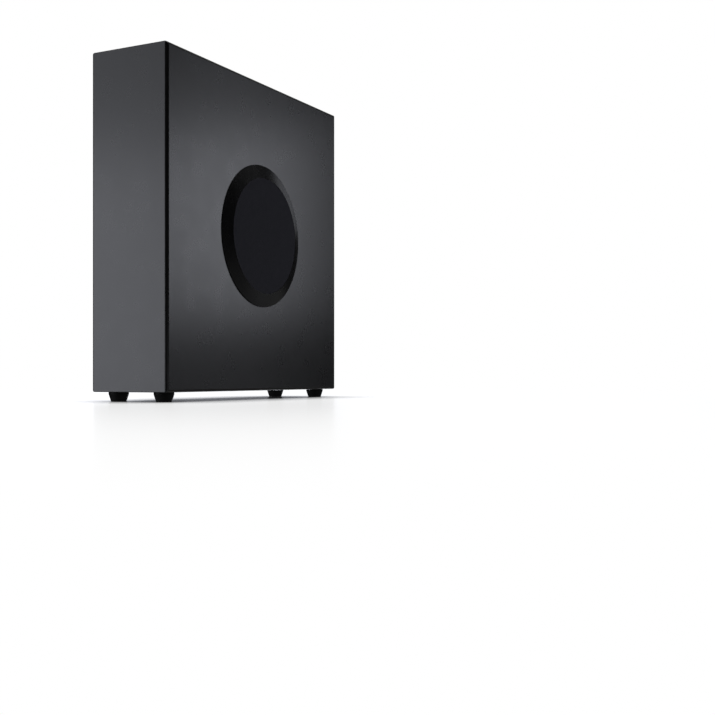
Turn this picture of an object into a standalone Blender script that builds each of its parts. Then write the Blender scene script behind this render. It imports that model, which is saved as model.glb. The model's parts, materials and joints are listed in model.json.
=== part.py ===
"""Slim active subwoofer of a soundbar set, standing upright on four rubber feet.

The cabinet is a flat square box of MDF panels under one vinyl wrap. The woofer fires through
one large side face, behind a shallow round cover of a sloped trim ring and stretched cloth.
The amplifier with its controls, and the reflex port, are in the narrow rear face.

Frame: metres, +Z up. The woofer side faces +X, the narrow front faces -Y and the rear +Y.
The world origin is the middle of the footprint, on the floor. The pieces are laid out about
the middle of the cabinet, and one empty shifts them all onto that origin.
"""

import math

import bmesh
import bpy
from mathutils import Matrix

# --- Driving dimensions ----------------------------------------------------------------------

GAP = 0.0003                    # clearance between pieces that touch

BODY_WIDTH = 0.116              # cabinet across X, over the wrap
BODY_DEPTH = 0.420              # cabinet along Y
BODY_HEIGHT = 0.420             # cabinet along Z, without the feet
BOARD = 0.012                   # MDF thickness
WRAP = 0.0005                   # vinyl wrap thickness
SIDE_EDGE_RADIUS = 0.004        # round edge along each large side face
CORNER_RADIUS = 0.0008          # folded edge between front, top, rear and bottom

BRACE_Y = 0.106                 # middle of the window brace
BRACE_WINDOW = (0.060, 0.096, 0.010)                # width, height and corner radius
BRACE_WINDOW_PITCH = 0.128

FOOT_HEIGHT = 0.012
FOOT_TOP_RADIUS = 0.0125
FOOT_BOTTOM_RADIUS = 0.0095
FOOT_INSET_X = 0.023            # foot centre from the side face
FOOT_INSET_Y = 0.024            # foot centre from the front or rear face

BADGE_SIZE = (0.026, 0.005, 0.0006)
BADGE_INSET = 0.0316            # badge's middle from the front face

COVER_RADIUS = 0.0965           # trim ring at its foot
COVER_DISC_RADIUS = 0.0784      # seat of the cloth disc
COVER_RISE = 0.0065             # cover above the side face
COVER_RIM = 0.0006              # upright rim at the ring's foot
COVER_WALL = 0.0021

BASKET_RADIUS = 0.0825
BASKET_SEAT_DEPTH = 0.007       # rebate for the basket in the baffle
BASKET_SEAT_RADIUS = 0.0845
BASKET_FLANGE = 0.0022          # thickness of the basket's flange
GASKET_ROOM = 0.0015            # room for the gasket under the flange
SCREW_HOLE_RADIUS = 0.0021
WOOFER_PILOT_RADIUS = 0.0020
WOOFER_OPENING_RADIUS = 0.0735
WOOFER_SCREW_CIRCLE = 0.0785
CONE_RADIUS = 0.0578
COIL_RADIUS = 0.0160            # outside of the voice coil former
POLE_RADIUS = 0.0152
MAGNET_RADIUS = 0.045
MAGNET_THICKNESS = 0.014
POLE_PLATE_THICKNESS = 0.005    # top plate, and the yoke's base
SEAT_MARGIN = 0.0005            # room round the amplifier plate in its rebate

PLATE_WIDTH = 0.080             # amplifier plate across X
PLATE_HEIGHT = 0.190
PLATE_THICKNESS = 0.002
PLATE_Z = 0.140                 # middle of the plate
PLATE_CORNER = 0.003
PLATE_LANDING = 0.008           # MDF left under the plate's edge all round
PLATE_SEAT_DEPTH = 0.003        # rebate for the plate in the rear panel
PLATE_SCREW_INSET = 0.0045
PLATE_PILOT_RADIUS = 0.0019
PLATE_HOLE_RADIUS = 0.0020

PORT_Z = 0.330
PORT_RADIUS = 0.025             # inside of the port tube
PORT_WALL = 0.0025
PORT_LENGTH = 0.092
PORT_FLANGE_RADIUS = 0.041
PORT_HOLE_RADIUS = 0.0365

KNOB_RADIUS = 0.0080
SHAFT_RADIUS = 0.0030           # level control's shaft
REAR_REACH = 0.0075             # knob beyond the rear face, the rearmost point
ROCKER_TILT = math.radians(10)  # rocker either side of its middle
SLIDER_TRAVEL = 0.004

# Controls on the amplifier plate: (x, z) of each middle
KNOB_AT = (-0.015, 0.203)
LED_AT = (0.018, 0.216)
BUTTON_AT = (0.018, 0.199)
SLIDER_AT = (-0.015, 0.166)
JACK_AT = (0.018, 0.166)
ROCKER_AT = (0.0, 0.120)
INLET_AT = (0.0, 0.080)

LARGE_STEPS = 40                # facets round the large turned pieces
MEDIUM_STEPS = 28
SMALL_STEPS = 16
SCREW_STEPS = 12
EDGE_SEGMENTS = 3               # facets across a rounded cabinet edge

# --- Positions that follow from them ---------------------------------------------------------

HALF_WIDTH = BODY_WIDTH / 2
HALF_DEPTH = BODY_DEPTH / 2
MIDDLE_Z = FOOT_HEIGHT + BODY_HEIGHT / 2
SKIN = WRAP + GAP                                   # face of the wrap to face of the MDF
MDF_SIDE = HALF_WIDTH - SKIN                        # outer face of the side panels
MDF_REACH = HALF_DEPTH - SKIN                       # outer face of the other four panels
INNER_HALF_WIDTH = MDF_SIDE - BOARD - GAP           # half width of the panels between the sides
COVER_TOP = HALF_WIDTH + COVER_RISE

BASKET_SEAT = MDF_SIDE - BASKET_SEAT_DEPTH          # where the basket gasket lies
FLANGE_BACK = BASKET_SEAT + GASKET_ROOM
FLANGE_FRONT = FLANGE_BACK + BASKET_FLANGE
SPIDER_LEDGE = 0.030                                # ledge in the basket for the spider
BASKET_FLOOR = 0.0135                               # where the magnet system is fixed
TOP_PLATE_FRONT = BASKET_FLOOR - GAP
TOP_PLATE_BACK = TOP_PLATE_FRONT - POLE_PLATE_THICKNESS
MAGNET_FRONT = TOP_PLATE_BACK - GAP
MAGNET_BACK = MAGNET_FRONT - MAGNET_THICKNESS
YOKE_FRONT = MAGNET_BACK - GAP
YOKE_BACK = YOKE_FRONT - POLE_PLATE_THICKNESS

PLATE_SEAT = MDF_REACH - PLATE_SEAT_DEPTH           # where the plate's gasket lies
PLATE_BACK = PLATE_SEAT + 0.0013
PLATE_FRONT = PLATE_BACK + PLATE_THICKNESS
PIVOT_Y = PLATE_FRONT - 0.0023                      # rocker's pivot axis
CONTROL_FACE = 0.1956                               # outer face of the control board
AMP_FACE = 0.1760                                   # inner face of the amplifier board
PCB = 0.0016                                        # thickness of a circuit board

QUARTER = math.pi / 2
ALONG_X = (0.0, QUARTER, 0.0)                       # a local +Z axis turned to +X
ALONG_Y = (-QUARTER, 0.0, 0.0)                      # a local +Z axis turned to +Y
FLAT_TO_REAR = (QUARTER, 0.0, 0.0)                  # an outline's plane stood up across Y
SECTION_ACROSS_X = Matrix(((0, 0, 1), (1, 0, 0), (0, 1, 0)))  # an outline read as (y, z)


# --- Materials -------------------------------------------------------------------------------

def material(name, color, roughness, metallic=0.0):
    """A plain Principled material."""
    made = bpy.data.materials.new(name)
    made.use_nodes = True
    shader = made.node_tree.nodes["Principled BSDF"]
    shader.inputs["Base Color"].default_value = (*color, 1.0)
    shader.inputs["Roughness"].default_value = roughness
    shader.inputs["Metallic"].default_value = metallic
    made.diffuse_color = (*color, 1.0)
    return made


# --- Helpers ---------------------------------------------------------------------------------

def add_part(name, data, finish, location=(0, 0, 0), rotation=(0, 0, 0)):
    """Place one named piece under the empty that shifts the cabinet onto the origin."""
    part = bpy.data.objects.new(name, data)
    data.materials.append(finish)
    PARTS.objects.link(part)
    part.parent = SHIFT
    part.location = location
    part.rotation_euler = rotation
    return part


def add_cutter(name, data, location=(0, 0, 0), rotation=(0, 0, 0)):
    """Place a hidden body that only cuts or joins other pieces."""
    cutter = bpy.data.objects.new(f"cutter_{name}", data)
    CUTTERS.objects.link(cutter)
    cutter.parent = SHIFT
    cutter.location = location
    cutter.rotation_euler = rotation
    cutter.display_type = "WIRE"
    cutter.hide_render = True
    return cutter


def boolean(target, cutter, operation="DIFFERENCE"):
    """Cut a hidden body out of a piece, or join it on."""
    modifier = target.modifiers.new(cutter.name, "BOOLEAN")
    modifier.operation = operation
    modifier.object = cutter


def box_mesh(name, size):
    """A box about its own middle, at its real size."""
    mesh = bpy.data.meshes.new(name)
    bm = bmesh.new()
    bmesh.ops.create_cube(bm, size=1.0)
    bmesh.ops.scale(bm, vec=size, verts=bm.verts)
    bm.to_mesh(mesh)
    bm.free()
    return mesh


def cylinder_mesh(name, radius, height, steps):
    """A cylinder about its own middle, along Z."""
    mesh = bpy.data.meshes.new(name)
    bm = bmesh.new()
    bmesh.ops.create_cone(
        bm, cap_ends=True, segments=steps, radius1=radius, radius2=radius, depth=height
    )
    bm.to_mesh(mesh)
    bm.free()
    return mesh


def block(name, low, high, finish, bevel=0.0):
    """A box between two corners, with an optional chamfer on every edge."""
    size = [b - a for a, b in zip(low, high)]
    middle = [(a + b) / 2 for a, b in zip(low, high)]
    part = add_part(name, box_mesh(name, size), finish, middle)
    if bevel:
        modifier = part.modifiers.new("chamfer", "BEVEL")
        modifier.width = bevel
        modifier.segments = 1
    return part


def box_cutter(name, low, high):
    """A box-shaped cutter between two corners."""
    size = [b - a for a, b in zip(low, high)]
    middle = [(a + b) / 2 for a, b in zip(low, high)]
    return add_cutter(name, box_mesh(name, size), middle)


def bore_along_x(name, radius, start, end, y, z, steps):
    """A round cutter along X between two depths."""
    mesh = cylinder_mesh(name, radius, end - start, steps)
    return add_cutter(name, mesh, ((start + end) / 2, y, z), ALONG_X)


def bore_along_y(name, radius, start, end, x, z, steps):
    """A round cutter along Y between two depths."""
    mesh = cylinder_mesh(name, radius, end - start, steps)
    return add_cutter(name, mesh, (x, (start + end) / 2, z), ALONG_Y)


def arc(centre, radii, start, end, steps):
    """Points on an arc or a part of an ellipse, with angles in degrees."""
    points = []
    for index in range(steps + 1):
        angle = math.radians(start + (end - start) * index / steps)
        across = centre[0] + radii[0] * math.cos(angle)
        up = centre[1] + radii[1] * math.sin(angle)
        points.append((across, up))
    return points


def ring_section(inner, outer, low, high):
    """The section of a plain ring: (radius, height) corners."""
    return [(outer, high), (outer, low), (inner, low), (inner, high)]


def down_the_outside(section):
    """Order a section so that it runs down its outer side, which turns its faces outward."""
    following = section[1:] + section[:1]
    area = sum(a[0] * b[1] - b[0] * a[1] for a, b in zip(section, following))
    return section if area < 0 else section[::-1]


def turned(name, section, finish, steps, location, rotation):
    """Turn a section of (radius, height) points round its axis.

    A section that starts and ends on the axis is open there, and any other is a closed loop.
    """
    points = down_the_outside(section)
    closed = points[0][0] > 0
    edges = [(index, index + 1) for index in range(len(points) - 1)]
    if closed:
        edges.append((len(points) - 1, 0))
    mesh = bpy.data.meshes.new(name)
    mesh.from_pydata([(radius, 0.0, height) for radius, height in points], edges, [])
    part = add_part(name, mesh, finish, location, rotation)
    screw = part.modifiers.new("turn", "SCREW")
    screw.axis = "Z"
    screw.angle = 2 * math.pi
    screw.steps = steps
    screw.render_steps = steps
    screw.use_merge_vertices = True
    screw.merge_threshold = 0.00001
    screw.use_smooth_shade = True
    return part


def turned_on_woofer(name, section, finish, steps):
    """Turn a section on the woofer's axis; its heights are X positions in the cabinet."""
    return turned(name, section, finish, steps, (0, 0, MIDDLE_Z), ALONG_X)


def turned_on_rear(name, section, finish, steps, x, z):
    """Turn a section on an axis along Y; its heights are Y positions in the cabinet."""
    return turned(name, section, finish, steps, (x, 0, z), ALONG_Y)


def rectangle(width, height, radius=0.0, x=0.0, y=0.0):
    """A rectangle about (x, y), with optional round corners."""
    half_w, half_h = width / 2 - radius, height / 2 - radius
    corners = [
        (half_w, half_h, 0), (-half_w, half_h, 90),
        (-half_w, -half_h, 180), (half_w, -half_h, 270),
    ]
    points = []
    for corner_x, corner_y, start in corners:
        if radius:
            points += arc((x + corner_x, y + corner_y), (radius, radius), start, start + 90, 3)
        else:
            points.append((x + corner_x, y + corner_y))
    return points


def circle(radius, steps, x=0.0, y=0.0):
    """A round loop about (x, y)."""
    return arc((x, y), (radius, radius), 0, 360 - 360 / steps, steps - 1)


def flat_piece(name, loops, thickness, finish, location, rotation):
    """A flat outline with holes, given thickness evenly about its plane."""
    curve = bpy.data.curves.new(name, "CURVE")
    curve.dimensions = "2D"
    curve.fill_mode = "BOTH"
    curve.extrude = thickness / 2
    for loop in loops:
        spline = curve.splines.new("POLY")
        spline.points.add(len(loop) - 1)
        for point, (u, v) in zip(spline.points, loop):
            point.co = (u, v, 0.0, 1.0)
        spline.use_cyclic_u = True
    return add_part(name, curve, finish, location, rotation)


def as_mesh(part):
    """Replace a curve piece by its welded mesh, so that it can be cut and joined."""
    bpy.context.view_layer.update()
    evaluated = part.evaluated_get(bpy.context.evaluated_depsgraph_get())
    mesh = bpy.data.meshes.new_from_object(evaluated)
    bm = bmesh.new()
    bm.from_mesh(mesh)
    bmesh.ops.remove_doubles(bm, verts=bm.verts, dist=0.00001)
    bm.to_mesh(mesh)
    bm.free()
    name = part.name
    curve = part.data
    placed = part.matrix_world.copy()
    bpy.data.objects.remove(part, do_unlink=True)
    bpy.data.curves.remove(curve)
    solid = bpy.data.objects.new(name, mesh)
    PARTS.objects.link(solid)
    solid.parent = SHIFT
    solid.matrix_world = placed
    return solid


def smooth_route(route, per_span):
    """Points along a smooth curve through a route's own points."""
    padded = [route[0]] + route + [route[-1]]
    points = []
    for before, start, end, after in zip(padded, padded[1:], padded[2:], padded[3:]):
        for step in range(per_span):
            t = step / per_span
            point = []
            for a, b, c, d in zip(before, start, end, after):
                bend = (2 * a - 5 * b + 4 * c - d) * t ** 2 + (3 * b - a - 3 * c + d) * t ** 3
                point.append((2 * b + (c - a) * t + bend) / 2)
            points.append(tuple(point))
    points.append(route[-1])
    return points


def round_edges(part, rim_radius, corner_radius, rim_test):
    """Round the edges that rim_test picks with rim_radius, and those along X with corner_radius."""
    mesh = part.data
    weights = mesh.attributes.new("bevel_weight_edge", "FLOAT", "EDGE")
    for edge in mesh.edges:
        a, b = (mesh.vertices[index].co for index in edge.vertices)
        if abs(a.x - b.x) > GAP:
            weights.data[edge.index].value = corner_radius / rim_radius
        elif rim_test(a.x):
            weights.data[edge.index].value = 1.0
    modifier = part.modifiers.new("round_edges", "BEVEL")
    modifier.limit_method = "WEIGHT"
    modifier.width = rim_radius
    modifier.segments = EDGE_SEGMENTS


# --- Cabinet ---------------------------------------------------------------------------------

def vinyl_wrap():
    """One skin over the whole box, open at the woofer, the amplifier and the port."""
    size = (BODY_WIDTH, BODY_DEPTH, BODY_HEIGHT)
    wrap = add_part("vinyl_wrap", box_mesh("vinyl_wrap", size), VINYL, (0, 0, MIDDLE_Z))
    round_edges(wrap, SIDE_EDGE_RADIUS, CORNER_RADIUS, lambda x: True)
    shell = wrap.modifiers.new("thickness", "SOLIDIFY")
    shell.thickness = WRAP
    shell.offset = -1.0
    shell.use_even_offset = True
    boolean(wrap, bore_along_x("wrap_woofer", BASKET_SEAT_RADIUS + 0.001, MDF_SIDE, HALF_WIDTH + BOARD,
                               0, MIDDLE_Z, LARGE_STEPS))
    boolean(wrap, bore_along_y("wrap_port", PORT_HOLE_RADIUS + GAP, MDF_REACH, HALF_DEPTH + BOARD,
                               0, PORT_Z, MEDIUM_STEPS))
    half_w, half_h = PLATE_WIDTH / 2 + SEAT_MARGIN, PLATE_HEIGHT / 2 + SEAT_MARGIN
    boolean(wrap, box_cutter("wrap_plate", (-half_w, MDF_REACH, PLATE_Z - half_h),
                             (half_w, HALF_DEPTH + BOARD, PLATE_Z + half_h)))


def side_panel(name, side):
    """One large square panel, rounded on its outer rim; side is +1 or -1 along X."""
    size = (BOARD, 2 * MDF_REACH, 2 * MDF_REACH)
    panel = add_part(name, box_mesh(name, size), MDF, (side * (MDF_SIDE - BOARD / 2), 0, MIDDLE_Z))
    round_edges(panel, SIDE_EDGE_RADIUS - SKIN, GAP, lambda x: x * side > 0)
    return panel


def woofer_screw_places():
    """The (y, z) offsets of the four basket screws from the woofer's axis."""
    return circle(WOOFER_SCREW_CIRCLE, 8)[1::2]


def baffle_panel():
    """The side panel that carries the woofer, with its opening, rebate and pilot holes."""
    baffle = side_panel("baffle_panel", 1)
    inner = MDF_SIDE - BOARD
    low, high = inner - BOARD, MDF_SIDE + BOARD
    boolean(baffle, bore_along_x("baffle_opening", WOOFER_OPENING_RADIUS, low, high,
                                 0, MIDDLE_Z, LARGE_STEPS))
    boolean(baffle, bore_along_x("baffle_seat", BASKET_SEAT_RADIUS, BASKET_SEAT, high,
                                 0, MIDDLE_Z, LARGE_STEPS))
    for index, (y, z) in enumerate(woofer_screw_places(), 1):
        boolean(baffle, bore_along_x(f"baffle_pilot_{index}", WOOFER_PILOT_RADIUS, low, high,
                                     y, MIDDLE_Z + z, SCREW_STEPS))


def mitred_panel(name, quarter_turns):
    """One of the four panels between the sides, mitred at both ends and turned about X."""
    ease = GAP / math.sqrt(2)
    outer, inner = MDF_REACH - ease, MDF_REACH - BOARD - ease
    loop = [
        (-outer, -MDF_REACH), (outer, -MDF_REACH),
        (inner, BOARD - MDF_REACH), (-inner, BOARD - MDF_REACH),
    ]
    turn = Matrix.Rotation(quarter_turns * QUARTER, 3, "X") @ SECTION_ACROSS_X
    return flat_piece(name, [loop], 2 * INNER_HALF_WIDTH, MDF, (0, 0, MIDDLE_Z), turn.to_euler())


def plate_screw_places():
    """The (x, z) places of the four screws at the amplifier plate's corners."""
    across = PLATE_WIDTH / 2 - PLATE_SCREW_INSET
    up = PLATE_HEIGHT / 2 - PLATE_SCREW_INSET
    return [
        (across, PLATE_Z + up), (-across, PLATE_Z + up),
        (-across, PLATE_Z - up), (across, PLATE_Z - up),
    ]


def rear_panel():
    """The rear panel, with the amplifier's opening and rebate and the port's hole."""
    rear = as_mesh(mitred_panel("rear_panel", 1))
    inside, outside = MDF_REACH - 2 * BOARD, MDF_REACH + BOARD
    open_w = PLATE_WIDTH / 2 - PLATE_LANDING
    open_h = PLATE_HEIGHT / 2 - PLATE_LANDING
    seat_w, seat_h = PLATE_WIDTH / 2 + SEAT_MARGIN, PLATE_HEIGHT / 2 + SEAT_MARGIN
    boolean(rear, box_cutter("rear_opening", (-open_w, inside, PLATE_Z - open_h),
                             (open_w, outside, PLATE_Z + open_h)))
    boolean(rear, box_cutter("rear_seat", (-seat_w, PLATE_SEAT, PLATE_Z - seat_h),
                             (seat_w, outside, PLATE_Z + seat_h)))
    boolean(rear, bore_along_y("rear_port", PORT_HOLE_RADIUS, inside, outside,
                               0, PORT_Z, MEDIUM_STEPS))
    for index, (x, z) in enumerate(plate_screw_places(), 1):
        boolean(rear, bore_along_y(f"rear_pilot_{index}", PLATE_PILOT_RADIUS, inside, outside,
                                   x, z, SCREW_STEPS))


def window_brace():
    """A stiffening board between the sides, with three windows for the air and the cable."""
    height = 2 * (MDF_REACH - BOARD - GAP)
    loops = [rectangle(2 * INNER_HALF_WIDTH, height)]
    for step in (-1, 0, 1):
        loops.append(rectangle(*BRACE_WINDOW, y=step * BRACE_WINDOW_PITCH))
    flat_piece("window_brace", loops, BOARD, MDF, (0, BRACE_Y, MIDDLE_Z), FLAT_TO_REAR)


def damping_wadding():
    """A mat of polyester wadding on the plain side's inner face, behind the woofer."""
    wall = -INNER_HALF_WIDTH
    block("damping_wadding", (wall, -0.185, 0.050), (wall + 0.010, 0.095, 0.395), WADDING, 0.003)


def reflex_port():
    """A flared tube with a flange on the rear face."""
    outer = PORT_RADIUS + PORT_WALL
    mouth = HALF_DEPTH + GAP
    inner_end = mouth - PORT_LENGTH
    flare = 0.010
    lip = 0.0022
    outside = arc((outer + flare - PORT_WALL, mouth - flare), (flare - PORT_WALL, flare), 90, 180, 4)
    inside = arc((PORT_RADIUS + flare, mouth + lip - flare), (flare, flare), 180, 90, 4)
    section = [
        (PORT_FLANGE_RADIUS - 0.0006, mouth + lip),
        (PORT_FLANGE_RADIUS, mouth + lip - 0.0008),
        (PORT_FLANGE_RADIUS, mouth),
    ]
    section += outside
    section += [(outer, inner_end), (PORT_RADIUS, inner_end)]
    section += inside
    turned_on_rear("reflex_port", section, SATIN_PLASTIC, MEDIUM_STEPS, 0, PORT_Z)


def rubber_feet():
    """Four tapered feet, stuck on under the cabinet."""
    top = FOOT_HEIGHT - GAP
    round_off = 0.001
    section = [(0, top), (FOOT_TOP_RADIUS, top), (FOOT_TOP_RADIUS, top - 0.0025),
               (FOOT_BOTTOM_RADIUS, round_off), (FOOT_BOTTOM_RADIUS - round_off, 0), (0, 0)]
    across, along = HALF_WIDTH - FOOT_INSET_X, HALF_DEPTH - FOOT_INSET_Y
    for end, y in (("front", -along), ("rear", along)):
        for side, x in (("plain", -across), ("woofer", across)):
            turned(f"rubber_foot_{end}_{side}", section, RUBBER, SMALL_STEPS, (x, y, 0), (0, 0, 0))


def badge():
    """A plain metal bar without lettering, on the top near the front edge."""
    across, along, thick = (share / 2 for share in BADGE_SIZE)
    top = FOOT_HEIGHT + BODY_HEIGHT + GAP
    middle_y = -HALF_DEPTH + BADGE_INSET
    block("badge", (-across, middle_y - along, top), (across, middle_y + along, top + 2 * thick),
          ALUMINIUM, 0.0002)


# --- Woofer ----------------------------------------------------------------------------------

def basket():
    """The pressed steel basket: flange, sloped wall with six windows, spider ledge and floor."""
    section = [
        (BASKET_RADIUS, FLANGE_FRONT), (0.0705, FLANGE_FRONT), (0.0470, SPIDER_LEDGE),
        (0.0386, SPIDER_LEDGE), (0.0386, BASKET_FLOOR + 0.0022), (0.0185, BASKET_FLOOR + 0.0022),
        (0.0185, BASKET_FLOOR), (0.0402, BASKET_FLOOR), (0.0402, SPIDER_LEDGE - 0.0016),
        (0.0488, SPIDER_LEDGE - 0.0016), (0.0720, FLANGE_BACK), (BASKET_RADIUS, FLANGE_BACK),
    ]
    part = turned_on_woofer("woofer_basket", section, STEEL, LARGE_STEPS)
    low, high = SPIDER_LEDGE + 0.0006, FLANGE_BACK - 0.0010
    for index in range(3):
        mesh = box_mesh(f"basket_window_{index + 1}", (high - low, 0.038, 0.136))
        turn = (math.radians(60 * index), 0, 0)
        boolean(part, add_cutter(mesh.name, mesh, ((low + high) / 2, 0, MIDDLE_Z), turn))
    for index, (y, z) in enumerate(woofer_screw_places(), 1):
        boolean(part, bore_along_x(f"basket_hole_{index}", SCREW_HOLE_RADIUS, FLANGE_BACK - 0.002,
                                   FLANGE_FRONT + 0.002, y, MIDDLE_Z + z, SCREW_STEPS))


def basket_gasket():
    """A foam ring between the basket's flange and the rebate, holed for the screws."""
    low, high = BASKET_SEAT + GAP, FLANGE_BACK - GAP
    loops = [circle(BASKET_RADIUS, LARGE_STEPS), circle(0.0740, LARGE_STEPS)]
    for u, v in woofer_screw_places():
        loops.append(circle(SCREW_HOLE_RADIUS, SCREW_STEPS, u, v))
    place = ((low + high) / 2, 0, MIDDLE_Z)
    flat_piece("basket_gasket", loops, high - low, FOAM, place, ALONG_X)


def motor():
    """The magnet system: top plate, ferrite ring, and yoke with its vented pole."""
    turned_on_woofer("top_plate", ring_section(0.0175, 0.042, TOP_PLATE_BACK, TOP_PLATE_FRONT),
                     ZINC, MEDIUM_STEPS)
    turned_on_woofer("ferrite_magnet", ring_section(0.021, MAGNET_RADIUS, MAGNET_BACK, MAGNET_FRONT),
                     FERRITE, MEDIUM_STEPS)
    yoke = [
        (POLE_RADIUS, TOP_PLATE_FRONT), (POLE_RADIUS, YOKE_FRONT), (0.042, YOKE_FRONT),
        (0.042, YOKE_BACK + 0.001), (0.041, YOKE_BACK), (0.004, YOKE_BACK),
        (0.004, TOP_PLATE_FRONT),
    ]
    turned_on_woofer("yoke", yoke, ZINC, MEDIUM_STEPS)


def voice_coil():
    """The thin former that drives the cone, and the copper winding on its lower end."""
    former_low, former_high = TOP_PLATE_BACK - 0.0045, 0.0405
    former = ring_section(COIL_RADIUS - 0.0003, COIL_RADIUS, former_low, former_high)
    turned_on_woofer("voice_coil_former", former, ALUMINIUM, SMALL_STEPS + 4)
    gap_middle = (TOP_PLATE_BACK + TOP_PLATE_FRONT) / 2
    winding = ring_section(COIL_RADIUS + GAP, COIL_RADIUS + 0.0010,
                           gap_middle - 0.006, gap_middle + 0.006)
    turned_on_woofer("voice_coil_winding", winding, COPPER, SMALL_STEPS + 4)


def spider():
    """The corrugated disc that centres the coil, glued on the basket's ledge."""
    start, end = 0.0180, 0.0385
    waves, per_wave = 3, 4
    depth, sheet = 0.0011, 0.0006
    lip = SPIDER_LEDGE + GAP
    front = [(COIL_RADIUS + GAP, lip + sheet)]
    for index in range(waves * per_wave + 1):
        share = index / (waves * per_wave)
        height = lip + sheet + depth * math.sin(2 * math.pi * waves * share)
        front.append((start + (end - start) * share, height))
    front.append((0.0455, lip + sheet))
    back = [(radius, height - sheet) for radius, height in reversed(front)]
    turned_on_woofer("spider", front + back, SPIDER_CLOTH, SMALL_STEPS + 4)


def cone_and_cap():
    """The paper cone, with a flat edge and a neck on the former, and its dust cap."""
    edge = FLANGE_FRONT + 0.0004
    front = [
        (CONE_RADIUS, edge), (0.0546, edge), (0.0360, 0.0468), (0.0176, 0.0389),
        (COIL_RADIUS + GAP, 0.0389),
    ]
    back = [
        (COIL_RADIUS + GAP, 0.0363), (0.0173, 0.0363), (0.0173, 0.0377), (0.0364, 0.0458),
        (0.0549, edge - 0.0009), (CONE_RADIUS, edge - 0.0009),
    ]
    turned_on_woofer("cone", front + back, CONE_PAPER, LARGE_STEPS - 8)
    cap_radius, rise, sheet = 0.0218, 0.0065, 0.0007
    foot = 0.0412
    dome = (cap_radius ** 2 + rise ** 2) / (2 * rise)
    half_angle = math.degrees(math.asin(cap_radius / dome))
    centre = (0.0, foot + rise - dome)
    outside = arc(centre, (dome, dome), 90, 90 - half_angle, 5)
    inside = arc(centre, (dome - sheet, dome - sheet), 90 - half_angle, 90, 5)
    outside[0] = (0.0, foot + rise)
    inside[-1] = (0.0, foot + rise - sheet)
    turned_on_woofer("dust_cap", outside + inside, CONE_PAPER, SMALL_STEPS + 4)


def surround():
    """The half-roll rubber edge between the cone and the flange."""
    roll_in, roll_out = 0.0590, 0.0700
    sheet = 0.0007
    lip = FLANGE_FRONT + GAP
    cone_lip = FLANGE_FRONT + 0.0004 + GAP
    middle, half = (roll_in + roll_out) / 2, (roll_out - roll_in) / 2
    front = [(0.0752, lip + sheet)]
    front += arc((middle, lip + sheet), (half, 0.0046), 0, 180, 5)[:-1]
    front += [(roll_in, cone_lip + sheet), (0.0548, cone_lip + sheet)]
    back = [(0.0548, cone_lip), (roll_in + sheet, cone_lip)]
    back += arc((middle, lip), (half - sheet, 0.0046), 180, 0, 5)[1:]
    back += [(0.0752, lip)]
    turned_on_woofer("surround", front + back, RUBBER, LARGE_STEPS - 8)


def terminal_strip():
    """The strip with the solder tags, on the rear side of the basket's wall."""
    block("terminal_strip", (0.028, 0.0675, MIDDLE_Z - 0.007), (0.040, 0.0690, MIDDLE_Z + 0.007),
          PHENOLIC)


def screw_section(seat, head_radius, head_height, shank_radius, length):
    """A pan-head screw whose head rests on seat and whose shank runs down from it."""
    return [
        (0, seat + head_height), (head_radius * 0.7, seat + head_height),
        (head_radius, seat + head_height * 0.55), (head_radius, seat), (shank_radius, seat),
        (shank_radius, seat - length + shank_radius), (0, seat - length),
    ]


def woofer_screws():
    """Four screws through the basket's flange into the baffle."""
    section = screw_section(FLANGE_FRONT + GAP, 0.0030, 0.0018, 0.0017, 0.012)
    for index, (y, z) in enumerate(woofer_screw_places(), 1):
        turned(f"woofer_screw_{index}", section, ZINC, SCREW_STEPS, (0, y, MIDDLE_Z + z), ALONG_X)


# --- Woofer cover ----------------------------------------------------------------------------

def trim_ring():
    """The shallow sloped ring, with an inner shelf for the grille frame and the cloth."""
    foot = HALF_WIDTH + GAP
    rim = foot + COVER_RIM
    lip = COVER_DISC_RADIUS + 0.0010
    slope = (COVER_TOP - rim) / (COVER_RADIUS - lip)
    wall = lip + 0.0008
    under = COVER_TOP - (wall - lip) * slope - COVER_WALL
    section = [
        (COVER_RADIUS, rim), (COVER_RADIUS, foot), (wall + (under - foot) / slope, foot),
        (wall, under), (wall, COVER_TOP - 0.0043), (0.0750, COVER_TOP - 0.0043),
        (0.0750, COVER_TOP - 0.0030), (COVER_DISC_RADIUS, COVER_TOP - 0.0030),
        (COVER_DISC_RADIUS, COVER_TOP), (lip, COVER_TOP),
    ]
    turned_on_woofer("trim_ring", section, SATIN_PLASTIC, LARGE_STEPS)


def quadrant(radius, bar, start):
    """One window of the grille frame: a quarter disc set back from both cross bars."""
    reach = math.degrees(math.asin(bar / radius))
    rim = arc((0, 0), (radius, radius), start + reach, start + 90 - reach, 8)
    middle = math.radians(start + 45)
    corner = (bar * math.sqrt(2) * math.cos(middle), bar * math.sqrt(2) * math.sin(middle))
    return rim + [corner]


def grille_frame():
    """A flat ring with a cross, which holds the cloth off the moving cone."""
    low, high = COVER_TOP - 0.0027, COVER_TOP - 0.0012
    loops = [circle(COVER_DISC_RADIUS - GAP, LARGE_STEPS)]
    for start in (0, 90, 180, 270):
        loops.append(quadrant(0.0700, 0.0025, start))
    place = ((low + high) / 2, 0, MIDDLE_Z)
    flat_piece("grille_frame", loops, high - low, SATIN_PLASTIC, place, ALONG_X)


def grille_cloth():
    """The stretched acoustic cloth, flush with the ring's lip."""
    edge = COVER_DISC_RADIUS - GAP
    low, high = COVER_TOP - 0.0009, COVER_TOP - 0.0001
    section = [(0, high), (edge - 0.0006, high), (edge, high - 0.0004), (edge, low), (0, low)]
    turned_on_woofer("grille_cloth", section, CLOTH, LARGE_STEPS)


# --- Amplifier -------------------------------------------------------------------------------

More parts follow.
